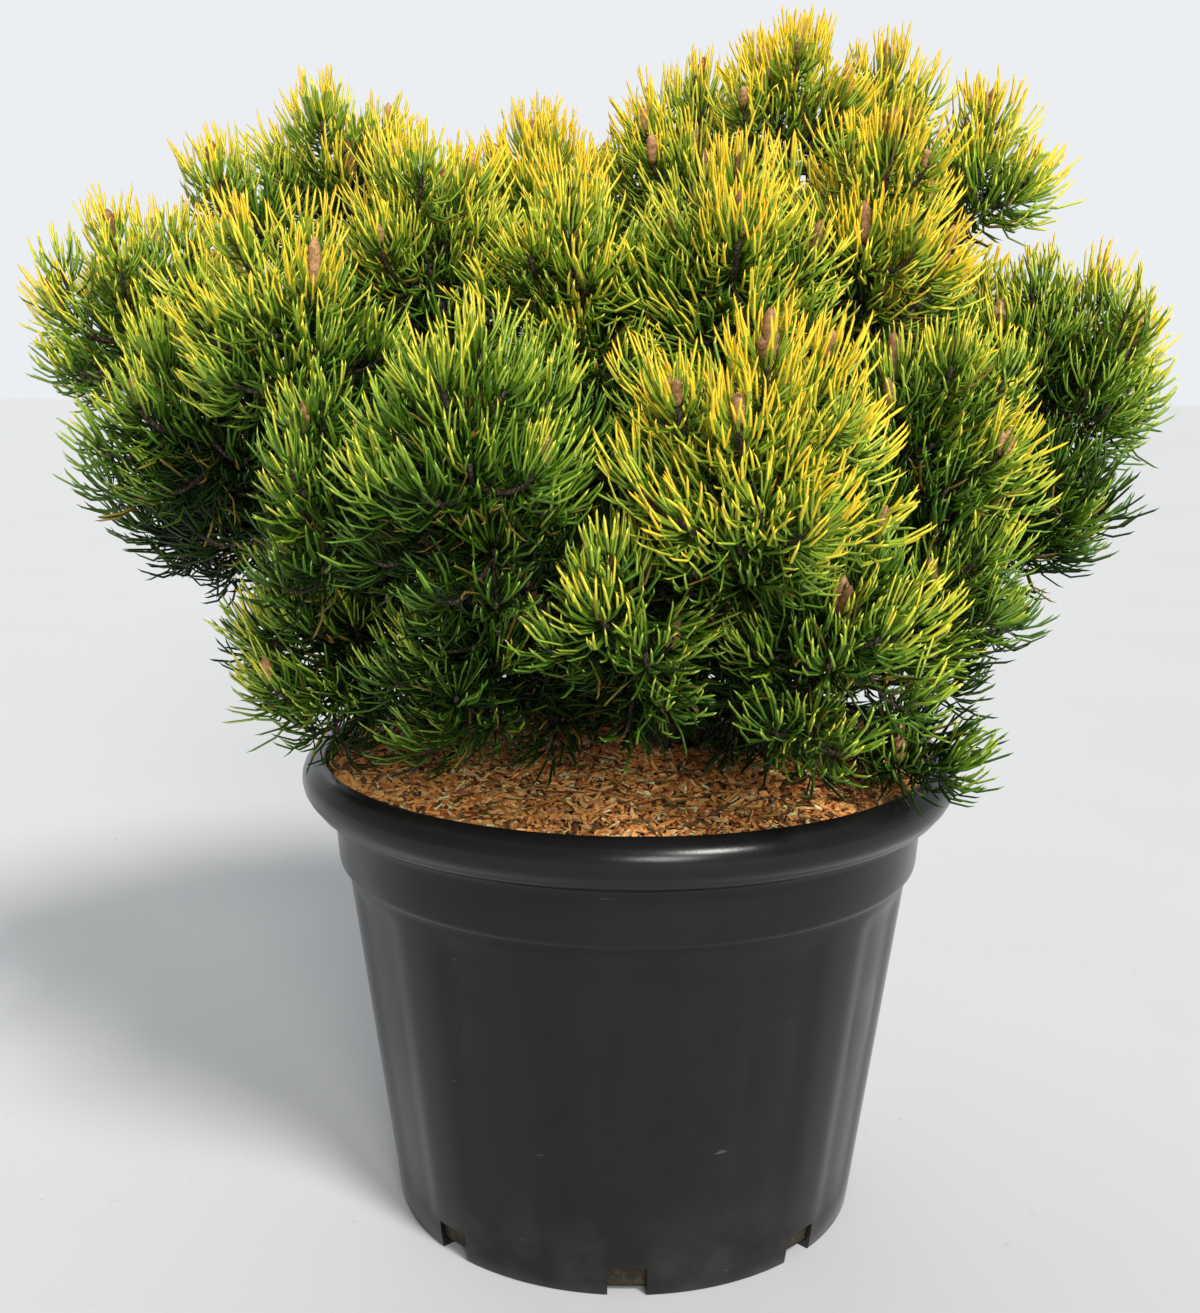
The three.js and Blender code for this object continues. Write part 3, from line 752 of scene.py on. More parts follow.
def raise_rings(profile, segments, name):
    """A disc whose top face is extruded and resized along a profile of (radius, height)."""
    start_fresh()
    radius, height = profile[0]
    place = (0, 0, height)
    bpy.ops.mesh.primitive_circle_add(vertices=segments, radius=radius, fill_type="NGON", location=place)
    piece = added(name)
    bpy.ops.object.transform_apply(location=True)
    bpy.ops.object.mode_set(mode="EDIT")
    bpy.ops.mesh.select_all(action="SELECT")
    for following, lift in profile[1:]:
        move = {"value": (0, 0, lift - height)}
        bpy.ops.mesh.extrude_region_move(TRANSFORM_OT_translate=move)
        grow = following / radius
        bpy.ops.transform.resize(value=(grow, grow, 1), center_override=(0, 0, lift))
        radius, height = following, lift
    bpy.ops.mesh.select_all(action="SELECT")
    bpy.ops.mesh.normals_make_consistent(inside=False)
    bpy.ops.object.mode_set(mode="OBJECT")
    return piece


def cut_with(piece, cutter):
    """Cuts one object out of another and removes the cutter."""
    start_fresh()
    bpy.context.view_layer.objects.active = piece
    piece.select_set(True)
    cut = piece.modifiers.new("Cut", "BOOLEAN")
    cut.operation = "DIFFERENCE"
    cut.object = cutter
    cut.solver = "EXACT"
    bpy.ops.object.modifier_apply(modifier=cut.name)
    bpy.data.objects.remove(cutter)


def notch_cutter():
    """The blocks that cut the drainage notches, joined as one object."""
    start_fresh()
    blocks = []
    for k in range(NOTCH["count"]):
        turn = k * 2 * math.pi / NOTCH["count"]
        place = (BODY["base_radius"] * math.cos(turn), BODY["base_radius"] * math.sin(turn), 0)
        bpy.ops.mesh.primitive_cube_add(size=1, location=place, rotation=(0, 0, turn))
        block = added(f"notch_{k}")
        block.scale = (2 * NOTCH["depth"], NOTCH["width"], 2 * NOTCH["height"])
        blocks.append(block)
    for block in blocks:
        block.select_set(True)
    bpy.ops.object.join()
    bpy.ops.object.transform_apply(location=True, rotation=True, scale=True)
    return added("notches")


def smooth_by_angle(piece, degrees):
    """Shades a piece smooth except over edges sharper than an angle."""
    start_fresh()
    piece.select_set(True)
    bpy.context.view_layer.objects.active = piece
    bpy.ops.object.shade_smooth_by_angle(angle=math.radians(degrees))


def paint_all(piece, paint):
    piece.data.materials.clear()
    piece.data.materials.append(paint)


class PotSettings(bpy.types.PropertyGroup):
    plastic: colour_setting("Plastic", "Colour of the pot's plastic", (0.0055, 0.0057, 0.006))
    dust: colour_setting("Dust", "Colour of scuffs and dust on the pot", (0.12, 0.115, 0.105))


class PINE_OT_pot(bpy.types.Operator):
    """Make the fluted nursery pot with its collar, rolled rim and drainage notches"""

    bl_idname = "pine.pot"
    bl_label = "Make Pot"

    def execute(self, context):
        settings = context.scene.pine_pot
        pot = raise_rings(pot_profile(), POT_SEGMENTS, "nursery_pot")
        press_flutes(pot.data)
        cut_with(pot, notch_cutter())
        smooth_by_angle(pot, 38)
        paint_all(pot, plastic_paint("pot_plastic_satin", settings.plastic, settings.dust))
        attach(pot, "root")
        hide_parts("pot")
        return {"FINISHED"}


# --- Growing medium ---


class MulchSettings(bpy.types.PropertyGroup):
    chips: count_setting("Chips", "Number of bark chips on the bed", 13500, 100, 16000)
    chip_length: length_setting("Chip Length", "Length of a middling chip", 0.0086, 0.002, 0.03)
    fallen: count_setting("Fallen Needles", "Number of needles lying on the mulch", 650, 0, 4000)
    orange: colour_setting("Orange Bark", "Main colour of the chips", (0.92, 0.37, 0.09))
    soil: colour_setting("Soil", "Colour of the medium between the chips", (0.42, 0.155, 0.042))


# The medium's wall as (radius, height), just inside the pot's.
BED_WALL = [
    (0.1975, 0.0058), (0.2000, 0.008), (0.2080, 0.060), (0.2270, 0.200), (0.2410, 0.312), (0.2480, 0.324),
    (0.2490, 0.340), (0.2510, 0.372),
]
BED_TOP = {"radius": 0.2608, "rings": 34, "relief_fade": 0.02, "sink": 0.0015}
# The heaps of the mulch as (height, how many to the metre, layer of noise).
HEAPS = ((0.0035, 22, 3), (0.0016, 90, 9))

# How far out of the bed's radius things lie, and how many radii of the trunk's foot they keep from it.
STREWN_SHARE = 0.985
FOOT_CLEARANCE = 1.35

# The chips' colours as multiples of the main one, and how often each comes.
CHIP_TONES = {
    "chip_orange": ((1.0, 1.0, 1.0), 0.38),
    "chip_rust": ((0.55, 0.45, 0.4), 0.24),
    "chip_tan": ((1.1, 1.3, 1.8), 0.25),
    "chip_pale": ((1.25, 2.3, 4.6), 0.07),
    "chip_dark": ((0.14, 0.16, 0.3), 0.06),
}

# The darker colour low in the pot, seen through the drainage notches, is painted shade.
SOIL = {"dark": (0.012, 0.006, 0.003), "damp": (0.05, 0.04, 0.014)}
FALLEN_TONES = {
    "fallen_tan": (0.36, 0.2, 0.07), "fallen_olive": (0.16, 0.13, 0.03), "fallen_brown": (0.13, 0.06, 0.02),
}


def splinter(outline, taper):
    """A closed splinter of bark: its outline, and the same again behind it, smaller by the taper."""
    sides = len(outline)
    ends = [np.column_stack((np.array(outline) * size, np.full(sides, end)))
            for size, end in ((1, -1.0), (taper, 1.0))]
    faces = [(0, k + 1, k) for k in range(1, sides - 1)]
    faces += [(sides, sides + k, sides + k + 1) for k in range(1, sides - 1)]
    for k in range(sides):
        after = (k + 1) % sides
        faces += [(k, after, after + sides), (k, after + sides, k + sides)]
    return np.concatenate(ends), np.array(faces)


FLAKE = splinter([(-1, -0.55), (-0.62, -1), (0.55, -0.85), (1, -0.25), (0.5, 0.9), (-0.5, 1)], taper=0.82)
SHRED = splinter([(-0.6, -0.6), (1, -1), (0.48, 1), (-0.7, 0.7)], taper=1)


def scatter(random, count, low=0.0):
    """Random places on the bed, clear of the trunk's foot."""
    places = np.empty((0, 2))
    while len(places) < count:
        radius = BED["edge_radius"] * STREWN_SHARE * np.sqrt(random.uniform(low, 1, count))
        turn = random.uniform(0, 2 * math.pi, count)
        found = np.column_stack((radius * np.cos(turn), radius * np.sin(turn)))
        clear = np.linalg.norm(found - TRUNK["foot"][:2], axis=1) > TRUNK["foot_radius"] * FOOT_CLEARANCE
        places = np.concatenate((places, found[clear]))
    return places[:count]


def tumbled(random, count, tilt):
    """Random frames of three directions: lying at any heading and tilted a little."""
    heading = random.uniform(0, 2 * math.pi, count)
    lift = random.normal(0, tilt, count)
    along = np.column_stack((np.cos(heading) * np.cos(lift), np.sin(heading) * np.cos(lift), np.sin(lift)))
    roll = random.normal(0, tilt * 1.4, count)[:, None]
    side, over = side_directions(along)
    return along, side * np.cos(roll) + over * np.sin(roll), over * np.cos(roll) - side * np.sin(roll)


def bed_relief(x, y):
    """The small heaps and hollows of the mulch."""
    return sum(high * noise.noise(Vector((x * fine, y * fine, layer))) for high, fine, layer in HEAPS)


# The chips' spread of sizes: width and thickness as shares of the length and of the width, how high each
# lies on the bed, how many are flakes, and how uneven their corners are.
CHIP = {
    "length_spread": 0.38, "width": (0.16, 0.5), "width_limits": (0.0008, 0.0042), "thickness": (0.22, 0.5),
    "lie": (-0.0008, 0.0034), "flakes": 0.18, "uneven": (0.78, 1.18), "tilt": 0.34, "over_edge": 0.0012,
}
FALLEN = {
    "length": (0.02, 0.045), "lie": (0.002, 0.0055), "tilt": 0.09, "bend": 0.5, "radius": 0.00075,
    "from_middle": 0.05, "from_edge": 0.002,
}


class PINE_OT_medium(bpy.types.Operator):
    """Make the growing medium with its mulch of bark chips and the needles fallen on it"""

    bl_idname = "pine.medium"
    bl_label = "Make Growing Medium"

    def execute(self, context):
        settings = context.scene.pine_mulch
        random = np.random.default_rng(SEEDS["mulch"])
        self.make_bed(settings)
        self.make_chips(settings, random)
        self.make_fallen(settings, random)
        return {"FINISHED"}

    def make_bed(self, settings):
        """The body of the medium: inside the pot's wall, with an uneven top."""
        rings = BED_TOP["rings"]
        radii = [BED_TOP["radius"] * math.sqrt(1 - k / rings) for k in range(rings)]
        top = [(radius, float(bed_height(radius))) for radius in radii]
        bed = raise_rings(BED_WALL + top, 120, "medium_bed")
        for corner in bed.data.vertices:
            x, y, z = corner.co
            if z > BED["edge_height"] - 0.001:
                inside = clamp((BED["edge_radius"] - math.hypot(x, y)) / BED_TOP["relief_fade"])
                corner.co.z += inside * bed_relief(x, y) - BED_TOP["sink"]
        smooth_by_angle(bed, 60)
        soil = soil_paint("mulch_soil", settings.soil, SOIL["dark"], SOIL["damp"])
        paint_all(bed, soil)
        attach(bed, "root")
        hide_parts("growing_medium")

    def make_chips(self, settings, random):
        """Splinters of bark lying over each other all over the bed."""
        count = settings.chips
        places = scatter(random, count)
        along, side, over = tumbled(random, count, CHIP["tilt"])
        length = settings.chip_length * random.lognormal(0, CHIP["length_spread"], count)
        width = np.clip(length * random.uniform(*CHIP["width"], count), *CHIP["width_limits"])
        thick = width * random.uniform(*CHIP["thickness"], count)
        relief = np.array([bed_relief(x, y) for x, y in places])
        height = bed_height(from_axis(places)) + relief + random.uniform(*CHIP["lie"], count)
        centres = np.column_stack((places, height))
        flaked = random.random(count) < CHIP["flakes"]
        tones = random.choice(len(CHIP_TONES), count, p=[row[1] for row in CHIP_TONES.values()])
        chips = Joined()
        edge = BED["edge_radius"] + CHIP["over_edge"]
        for (corners, faces), chosen in ((FLAKE, flaked), (SHRED, ~flaked)):
            sizes = np.column_stack((length, width, thick))[chosen] / 2
            jitter = random.uniform(*CHIP["uneven"], (chosen.sum(), len(corners), 3))
            local = corners * jitter * sizes[:, None]
            axes = np.stack((along, side, over), 1)[chosen]
            points = np.einsum("nvk,nkj->nvj", local, axes) + centres[chosen][:, None]
            points[..., :2] /= np.maximum(from_axis(points) / edge, 1)[..., None]
            all_faces = faces + np.arange(chosen.sum())[:, None, None] * len(corners)
            slots = np.repeat(tones[chosen], len(faces))
            chips.add(points.reshape(-1, 3), all_faces.reshape(-1, 3), slots)
        paints = [chip_paint(name, tuple(min(1, a * b) for a, b in zip(settings.orange, row[0])))
                  for name, row in CHIP_TONES.items()]
        piece = chips.piece("mulch_chips", paints)
        smooth_by_angle(piece, 20)
        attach(piece, "root")

    def make_fallen(self, settings, random):
        """Old needles lying on the chips."""
        count = settings.fallen
        places = scatter(random, count, FALLEN["from_middle"])
        along, side, _ = tumbled(random, count, FALLEN["tilt"])
        height = bed_height(from_axis(places)) + random.uniform(*FALLEN["lie"], count)
        length = random.uniform(*FALLEN["length"], count)
        starts = np.column_stack((places, height)) - along * length[:, None] / 2
        furthest = np.maximum(from_axis(starts), from_axis(starts + along * length[:, None]))
        fits = furthest < BED["edge_radius"] - FALLEN["from_edge"]
        bend = side * random.uniform(-FALLEN["bend"], FALLEN["bend"], count)[:, None]
        points, faces = needle_arrays(SHADED_NEEDLE, starts[fits], along[fits], unit(along + bend)[fits],
                                      length[fits], np.full(fits.sum(), FALLEN["radius"]))
        slots = np.repeat(random.integers(0, len(FALLEN_TONES), fits.sum()), len(SHADED_NEEDLE.faces))
        paints = [needle_paint(name, colour) for name, colour in FALLEN_TONES.items()]
        piece = mesh_piece("fallen_needles", points, faces, paints, slots)
        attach(piece, "root")


# --- Trunk and boughs ---


class BarkSettings(bpy.types.PropertyGroup):
    bark: colour_setting("Bark", "Colour of the bark's plates", (0.16, 0.105, 0.07))
    crevice: colour_setting("Crevice", "Colour between the bark's plates", (0.02, 0.012, 0.008))
    relief: bpy.props.FloatProperty(
        name="Relief", description="Height of the bark's plates as a share of the limb's radius",
        default=0.13, min=0, max=0.4, subtype="FACTOR")


# The skin of a limb: the collar where a bough leaves its carrier, the frequencies of its plates and lumps
# round the limb and along it, and the lobes of the root flare.
BARK = {
    "collar": 0.3, "collar_fade": 22, "round": 1.7, "along": 0.9, "thinnest": 0.006, "apart": 5.3,
    "plates": 1.6, "plate_level": 0.55, "lumps": 0.45, "lump_share": 0.5,
    "lobes": 5, "lobe_share": 0.6, "lobe_fade": 9,
}


def bark_tube(limb, rings, sides, relief, order):
    """A limb's skin with flaking plates: rings of corners that stand out by a ridged noise."""
    shares = np.linspace(0, 1, rings)
    path = limb.point(shares)
    radii = limb.radius(shares)
    if limb.flare == 0:
        radii = radii * (1 + BARK["collar"] * np.exp(-shares * BARK["collar_fade"]))
    length = np.linalg.norm(np.diff(path, axis=0), axis=1).sum()
    stretch = length / max(limb.root_radius, BARK["thinnest"]) * BARK["along"]
    rows = []
    for share, radius in zip(shares, radii):
        lobe = BARK["lobe_share"] * limb.flare * math.exp(-BARK["lobe_fade"] * share)
        for turn in np.arange(sides) * 2 * math.pi / sides:
            x, y = BARK["round"] * math.cos(turn), BARK["round"] * math.sin(turn)
            place = Vector((x, y, share * stretch + order * BARK["apart"]))
            plates = 1 - 2 * abs(noise.noise(place * BARK["plates"])) - BARK["plate_level"]
            lumps = BARK["lump_share"] * noise.noise(place * BARK["lumps"])
            rows.append(radius * (1 + relief * (plates + lumps) + lobe * math.cos(BARK["lobes"] * turn + 1)))
    return tube_points(path, np.reshape(rows, (rings, sides)), sides), tube_faces(rings, sides)


class PINE_OT_limbs(bpy.types.Operator):
    """Make the trunk and the boughs with the relief of their bark"""

    bl_idname = "pine.limbs"
    bl_label = "Make Trunk and Boughs"

    def execute(self, context):
        settings = context.scene.pine_bark
        paint = bark_paint("bark_flaking", settings.bark, settings.crevice, 95)
        points, faces = bark_tube(plant.limbs["trunk"], 64, 40, settings.relief, 0)
        points[:, 2] = np.maximum(points[:, 2], TRUNK["foot"][2])
        trunk = mesh_piece("trunk_bark", points, faces, [paint])
        boughs = Joined()
        for k, mass in enumerate(CROWN):
            boughs.add(*bark_tube(plant.limbs[mass], 60, 14, settings.relief, k + 1))
        bough_skin = boughs.piece("bough_bark", [paint])
        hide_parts("trunk")
        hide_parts(*(f"bough_{mass}" for mass in CROWN))
        for piece in (trunk, bough_skin):
            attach(piece, "root")
        return {"FINISHED"}


# --- Sprays: twigs, needles and buds ---


class FoliageSettings(bpy.types.PropertyGroup):
    needle_length: length_setting("Needle Length", "Length of a needle on a strong shoot", 0.063, 0.01, 0.1)
    needle_width: length_setting("Needle Width", "Width of a needle at its middle", 0.0023, 0.0005, 0.004)
    main_pairs: count_setting("Pairs on a Shoot", "Needle pairs on each main shoot", 50, 4, 100)
    side_pairs: count_setting("Pairs on a Side Shoot", "Needle pairs on each side shoot", 24, 2, 60)
    inner_pairs: count_setting("Pairs on an Inner Shoot", "Needle pairs on each old inner shoot", 17, 2, 60)
    # The deep tone is painted shade for needles deep in the crown, as well as the green of the needles'
    # roots.
    deep: colour_setting("Deep Green", "Needles in the shade and at their roots", (0.011, 0.032, 0.002))
    green: colour_setting("Green", "Middle green of the needles", (0.085, 0.19, 0.01))
    lime: colour_setting("Lime", "Lit needles below their tips", (0.32, 0.45, 0.035))
    yellow: colour_setting("Yellow", "Tips of lit needles", (0.84, 0.74, 0.05))
    gold: colour_setting("Gold", "Tips of the needles in full sun", (0.95, 0.58, 0.012))
    old: colour_setting("Old", "Needles in their last year", (0.2, 0.15, 0.02))


# The tones of a needle run from deep shade to full sun; a mixed one lies between each and the next.
# Each has its gloss.
NEEDLE_TONES = {"deep": 0.2, "green": 0.35, "lime": 0.45, "yellow": 0.45, "gold": 0.45}
SUNLIT_TONE = 2 * len(NEEDLE_TONES) - 2
OLD_TONE = SUNLIT_TONE + 1
# The share of old needles among those on the lower part of a twig, by the twig's rank.
OLD_SHARES = {"main": 0.1, "fill": 0.16, "side": 0.22, "inner": 0.4}
OLD_PART = 0.35
# How far up the tones a needle's root is, as a share of how far its tip is, and how late its middle follows.
ROOT_TONE = 0.24
TONE_RISE = 1.35
# How far past the last tone full sun takes a needle's tip, so that the last tone reaches down its length.
FULL_SUN = 1.2


def needle_paints(settings):
    """The paints of the needles, in the order of their tones."""
    paints, before, gloss = [], None, None
    for tone, own_gloss in NEEDLE_TONES.items():
        colour = np.array(getattr(settings, tone))
        if before:
            between = (np.array(getattr(settings, before)) + colour) / 2
            paints.append(needle_paint(f"needle_{before}_{tone}", between, gloss))
        paints.append(needle_paint(f"needle_{tone}", colour, own_gloss))
        before, gloss = tone, own_gloss
    return [*paints, needle_paint("needle_old", settings.old)]


class NeedleForm:
    """A three-sided needle with pointed ends: its rings as (share of its length, girth) and its faces.

    The faces lie in bands between the root, the rings and the tip.
    """

    def __init__(self, *rings):
        self.rings = rings
        tip = 3 * len(rings) + 1
        faces = [(0, 1 + (j + 1) % 3, 1 + j) for j in range(3)]
        bands = [0] * 3
        for k in range(len(rings) - 1):
            for j in range(3):
                a, b = 3 * k + 1 + j, 3 * k + 1 + (j + 1) % 3
                faces += [(a, b, b + 3), (a, b + 3, a + 3)]
                bands += [k + 1] * 2
        faces += [(tip - 3 + j, tip - 3 + (j + 1) % 3, tip) for j in range(3)]
        self.faces = np.array(faces)
        self.bands = np.array(bands + [len(rings)] * 3)
        ends = np.array([0, *(share for share, girth in rings), 1])
        self.tone_shares = lerp(ROOT_TONE, 1, ((ends[1:] + ends[:-1]) / 2) ** TONE_RISE)


ARCHED_NEEDLE = NeedleForm((0.24, 0.95), (0.58, 1.0), (0.9, 0.88))
SHADED_NEEDLE = NeedleForm((0.3, 1.0), (0.8, 0.9))


def needle_at(starts, leaving, arriving, length, share):
    """The point at a share of each needle's length, on its curve."""
    reach = length[:, None]
    return starts + reach * (share * (1 - share / 2) * leaving + share * share / 2 * arriving)


def needle_arrays(form, starts, leaving, arriving, length, radius):
    """Needles that bend from one direction to another and end in a point."""
    side_a, side_b = side_directions(unit(leaving + arriving))
    columns = [starts]
    for share, girth in form.rings:
        centre = needle_at(starts, leaving, arriving, length, share)
        for k in range(3):
            offset = swung(side_a, side_b, k * 2 * math.pi / 3)
            columns.append(centre + offset * (radius * girth)[:, None])
    columns.append(needle_at(starts, leaving, arriving, length, 1.0))
    points = np.stack(columns, 1)
    faces = form.faces + np.arange(len(starts))[:, None, None] * len(columns)
    return points.reshape(-1, 3), faces.reshape(-1, 3)


TWIG_BEND = 0.45


class Twig:
    """A needled twig that bends towards its aim, with its needles' length and how sunlit they are."""

    def __init__(self, clump, start, end, aim, rank, pairs, length):
        form = TWIGS[rank]
        self.clump = clump
        self.rank = rank
        self.start, self.end, self.aim = start, end, aim
        self.middle = end - aim * TWIG_BEND * np.linalg.norm(end - start)
        self.radii = form["radii"]
        self.bare = form["bare"]
        self.pairs = pairs
        self.needle_length = length * form["needles"]
        # A shaded rank's needles take a darker tone: painted shade.
        self.sun = sunlight(end, aim, clump.gold_and_painted_light) - form["shade"]

    def point(self, t):
        t = np.asarray(t, float)[..., None]
        return self.start * (1 - t) ** 2 + 2 * self.middle * t * (1 - t) + self.end * t * t

    def direction(self, t):
        t = np.asarray(t, float)[..., None]
        return unit((self.middle - self.start) * (1 - t) + (self.end - self.middle) * t)


CROWN_LOW, CROWN_HIGH = 0.45, 1.0
CROWN_CORE = np.array((0.0, 0.0, 0.56))
# What makes a spray sunlit, each with its weight, and the number of brighter patches to the metre.
# The needles' tones follow it: partly their own sun-grown gold, partly painted light and painted shade,
# lighter high up and facing out, darker under other foliage.
SUN = {"base": 0.1, "height": 0.36, "open_sky": 0.46, "facing": 0.12, "patch": 0.24, "patches": 9}
# How far the light comes from outside, and the depth of foliage that takes about two thirds of it.
SUN_SLANT = 0.4
SHADING_COVER = 0.1


def sunlight(place, direction, gold_and_painted_light):
    """How sunlit a spray is: more the higher it is and the less foliage hangs over it."""
    height = (place[2] - CROWN_LOW) / (CROWN_HIGH - CROWN_LOW)
    outward = unit(place - CROWN_CORE)
    # Foliage over the spray darkens its needles' colour: painted shade.
    open_sky = math.exp(-plant.cover(place, unit(UP + SUN_SLANT * outward)) / SHADING_COVER)
    facing = outward @ direction
    patch = noise.noise(Vector(place * SUN["patches"]))
    return (SUN["base"] + SUN["height"] * height + SUN["open_sky"] * open_sky + SUN["facing"] * facing
            + SUN["patch"] * patch + gold_and_painted_light)


# How far the needles at a shoot's end reach past its wood.
OVERHANG = 0.037
# Each rank of twig: its girth at both ends, the bare share of it, its needles' length as a share of the
# longest, how much darker a tone its needles are painted for the shade inside the crown (painted shade), and
# how far its end stands from the ends of the others.
TWIGS = {
    "stem": {"radii": (0.0042, 0.0026), "bare": 0.5, "needles": 1.0, "shade": 0.0, "apart": 0.0},
    "main": {"radii": (0.0027, 0.0021), "bare": 0.14, "needles": 1.0, "shade": 0.0, "apart": 0.0},
    "fill": {"radii": (0.0024, 0.0019), "bare": 0.16, "needles": 0.96, "shade": 0.03, "apart": 0.05},
    "side": {"radii": (0.0019, 0.0015), "bare": 0.2, "needles": 0.86, "shade": 0.16, "apart": 0.034},
    "inner": {"radii": (0.0018, 0.0014), "bare": 0.2, "needles": 0.92, "shade": 0.45, "apart": 0.026},
}
FILL = {
    "count": 34, "dome": math.radians(145), "reach": (0.86, 1.02), "sizes": (1, 0.88, 0.76, 0.64),
    "pairs": 0.75,
}
# Twigs that branch off others: where, at what angle, how long, and how strongly they turn up to the light.
SKYWARD = 1.15
SIDE = {"count": 4, "from": (0.25, 0.7), "angle": (30, 62), "length": (0.045, 0.068), "lift": 2 * (SKYWARD,)}
INNER = {"count": 9, "from": (0.1, 0.95), "angle": (40, 85), "length": (0.035, 0.08), "lift": 2 * (SKYWARD,)}
SPUR = {**INNER, "count": 32, "from": (0.14, 0.97), "lift": (-0.1, 1.0)}
LEAVING_LIFT = 0.15
AIM_JITTER = {"lift": 0.15, "heading": 0.12}
# The least room round a twig's end: inside its clump's space, over the pot and from the limbs.
TWIG_ROOM = {"space": 0.002, "pot": 0.01, "limb": 0.006}


def skyward(direction, random, lift=SKYWARD):
    """Where a shoot that leaves in a direction ends up pointing: it bends to the light."""
    lifted = direction + (lift + random.normal(0, AIM_JITTER["lift"])) * UP
    return unit(lifted + random.normal(0, AIM_JITTER["heading"], 3))


def fork(random, start, direction, form):
    """The start, end and aim of a twig that leaves a limb or a twig at an angle."""
    side_a, side_b = side_directions(direction)
    turn = random.uniform(0, 2 * math.pi)
    angle = math.radians(random.uniform(*form["angle"]))
    leaving = unit(swung(direction, swung(side_a, side_b, turn), angle) + LEAVING_LIFT * UP)
    end = start + leaving * random.uniform(*form["length"])
    return start, end, skyward(leaving, random, random.uniform(*form["lift"]))


class Grower:
    """Grows the needled twigs: the main shoots of the rule of growth, then finer ones that fill its gaps."""

    def __init__(self, settings):
        self.settings = settings
        self.length = settings.needle_length
        self.random = np.random.default_rng(SEEDS["sprays"])
        self.twigs, self.stems = [], []
        for mass in CROWN:
            own = plant.own(mass)
            foot = plant.stem_foot(own[0])
            knot = lerp(foot, own[0].centre, CLUMP["fork_at"])
            for order, clump in enumerate(own):
                base = foot if order == 0 else knot
                self.stems.append(Twig(clump, base, clump.centre, clump.growth, "stem", 0, self.length))
                self.grow_mains(clump)
        for stem in self.stems:
            self.fill_clump(stem.clump)
        for shoot in list(self.twigs):
            self.branch(shoot, SIDE, "side", settings.side_pairs)
        for stem in self.stems:
            self.branch(stem, INNER, "inner", settings.inner_pairs)
        for mass in CROWN:
            self.grow_spurs(plant.limbs[mass])

    def grow_mains(self, clump):
        """The solids' own shoots, with fewer needles on a short one."""
        for root, tip in plant.shoots(clump):
            outward = unit(tip - root)
            size = min(1, np.linalg.norm(tip - root) / clump.spread * 1.05)
            pairs = int(self.settings.main_pairs * size + 0.5)
            aim = skyward(outward, self.random)
            self.twigs.append(Twig(clump, root, tip - outward * OVERHANG, aim, "main", pairs, self.length))

    def fill_clump(self, clump):
        """Shoots between the main ones, wherever the clump's dome still has a gap."""
        for i in range(FILL["count"]):
            share = (i + 0.5) / FILL["count"]
            outward = clump.outward(share, FILL["dome"], i * GOLDEN_TURN + clump.seed)
            root = clump.shoot_root(share)
            tip = clump.centre + outward * clump.spread * self.random.uniform(*FILL["reach"])
            aim = skyward(outward, self.random)
            for size in FILL["sizes"]:
                end = lerp(root, tip, size) - outward * OVERHANG
                pairs = int(FILL["pairs"] * size * self.settings.main_pairs)
                if self.take(Twig(clump, root, end, aim, "fill", pairs, self.length)):
                    break

    def branch(self, parent, form, rank, pairs):
        """Finer twigs at random places along a twig or stem, in its clump's space."""
        for _ in range(form["count"]):
            share = self.random.uniform(*form["from"])
            start, end, aim = fork(self.random, parent.point(share), parent.direction(share), form)
            self.take(Twig(parent.clump, start, end, aim, rank, pairs, self.length))

    def grow_spurs(self, bough):
        """Old, shaded sprays along the outer part of a bough, each in the space that its end is in."""
        for share in np.linspace(*SPUR["from"], SPUR["count"]):
            start, end, aim = fork(self.random, bough.point(share), bough.tangent(share), SPUR)
            spur = Twig(plant.holder(end), start, end, aim, "inner", self.settings.inner_pairs, self.length)
            self.take(spur, spur=True)

    def take(self, twig, spur=False):
        """Keeps a finer twig if it has room in its clump's space and stands apart from every other."""
        ahead = twig.end + twig.aim * 0.6 * OVERHANG
        samples = np.vstack((twig.point(np.array((1.0,) if spur else (0.5, 0.75, 1.0))), ahead))
        ends = np.array([other.end for other in self.twigs])
        if np.linalg.norm(ends - twig.end, axis=1).min() < TWIGS[twig.rank]["apart"]:
            return False
        if not spur and np.linalg.norm(ahead - twig.clump.centre) > twig.clump.spread:
            return False
        if plant.room_inside(samples, twig.clump).min() < TWIG_ROOM["space"]:
            return False
        if not clear_of_pot(samples, TWIG_ROOM["pot"]).all():
            return False
        if plant.limb_clearance(samples[-2:]).min() < TWIG_ROOM["limb"]:
            return False
        self.twigs.append(twig)
        return True


# How the pairs of needles stand on a twig. Angles from the twig are in degrees, at its foot and its end, and
# the others in radians. A needle leaves at its angle and closes towards the twig's line and the sky, with a
# bow: how much further it leans out at its root and in at its end.
PAIRS = {
    "crowding": 0.8, "first_turn": 6.3, "turn_jitter": 0.35, "angles": (94, 26), "rise": 1.3, "jitter": 9,
    "split": (0.06, 0.2), "split_lean": (-0.03, 0.08), "bow": 0.15, "closing": (-0.3, 0.42),
    "lift": (0.15, 0.95), "wander": 0.18,
}
# The needles' length from a twig's foot to its end, the spread of their sizes, and the girth of old ones.
NEEDLE_SIZES = {"along": (1.08, 0.8), "length": (0.78, 1.1), "radius": (0.85, 1.12), "inner_radius": 1.2}
# How much sunnier a needle's tone is towards the twig's end, as the needles' own gold, and the more it
# points up, which is painted light; each from a middling value.
NEEDLE_SUN = {"end": 0.7, "middle": 0.58, "up": 0.16, "level": 0.5, "jitter": 0.07}


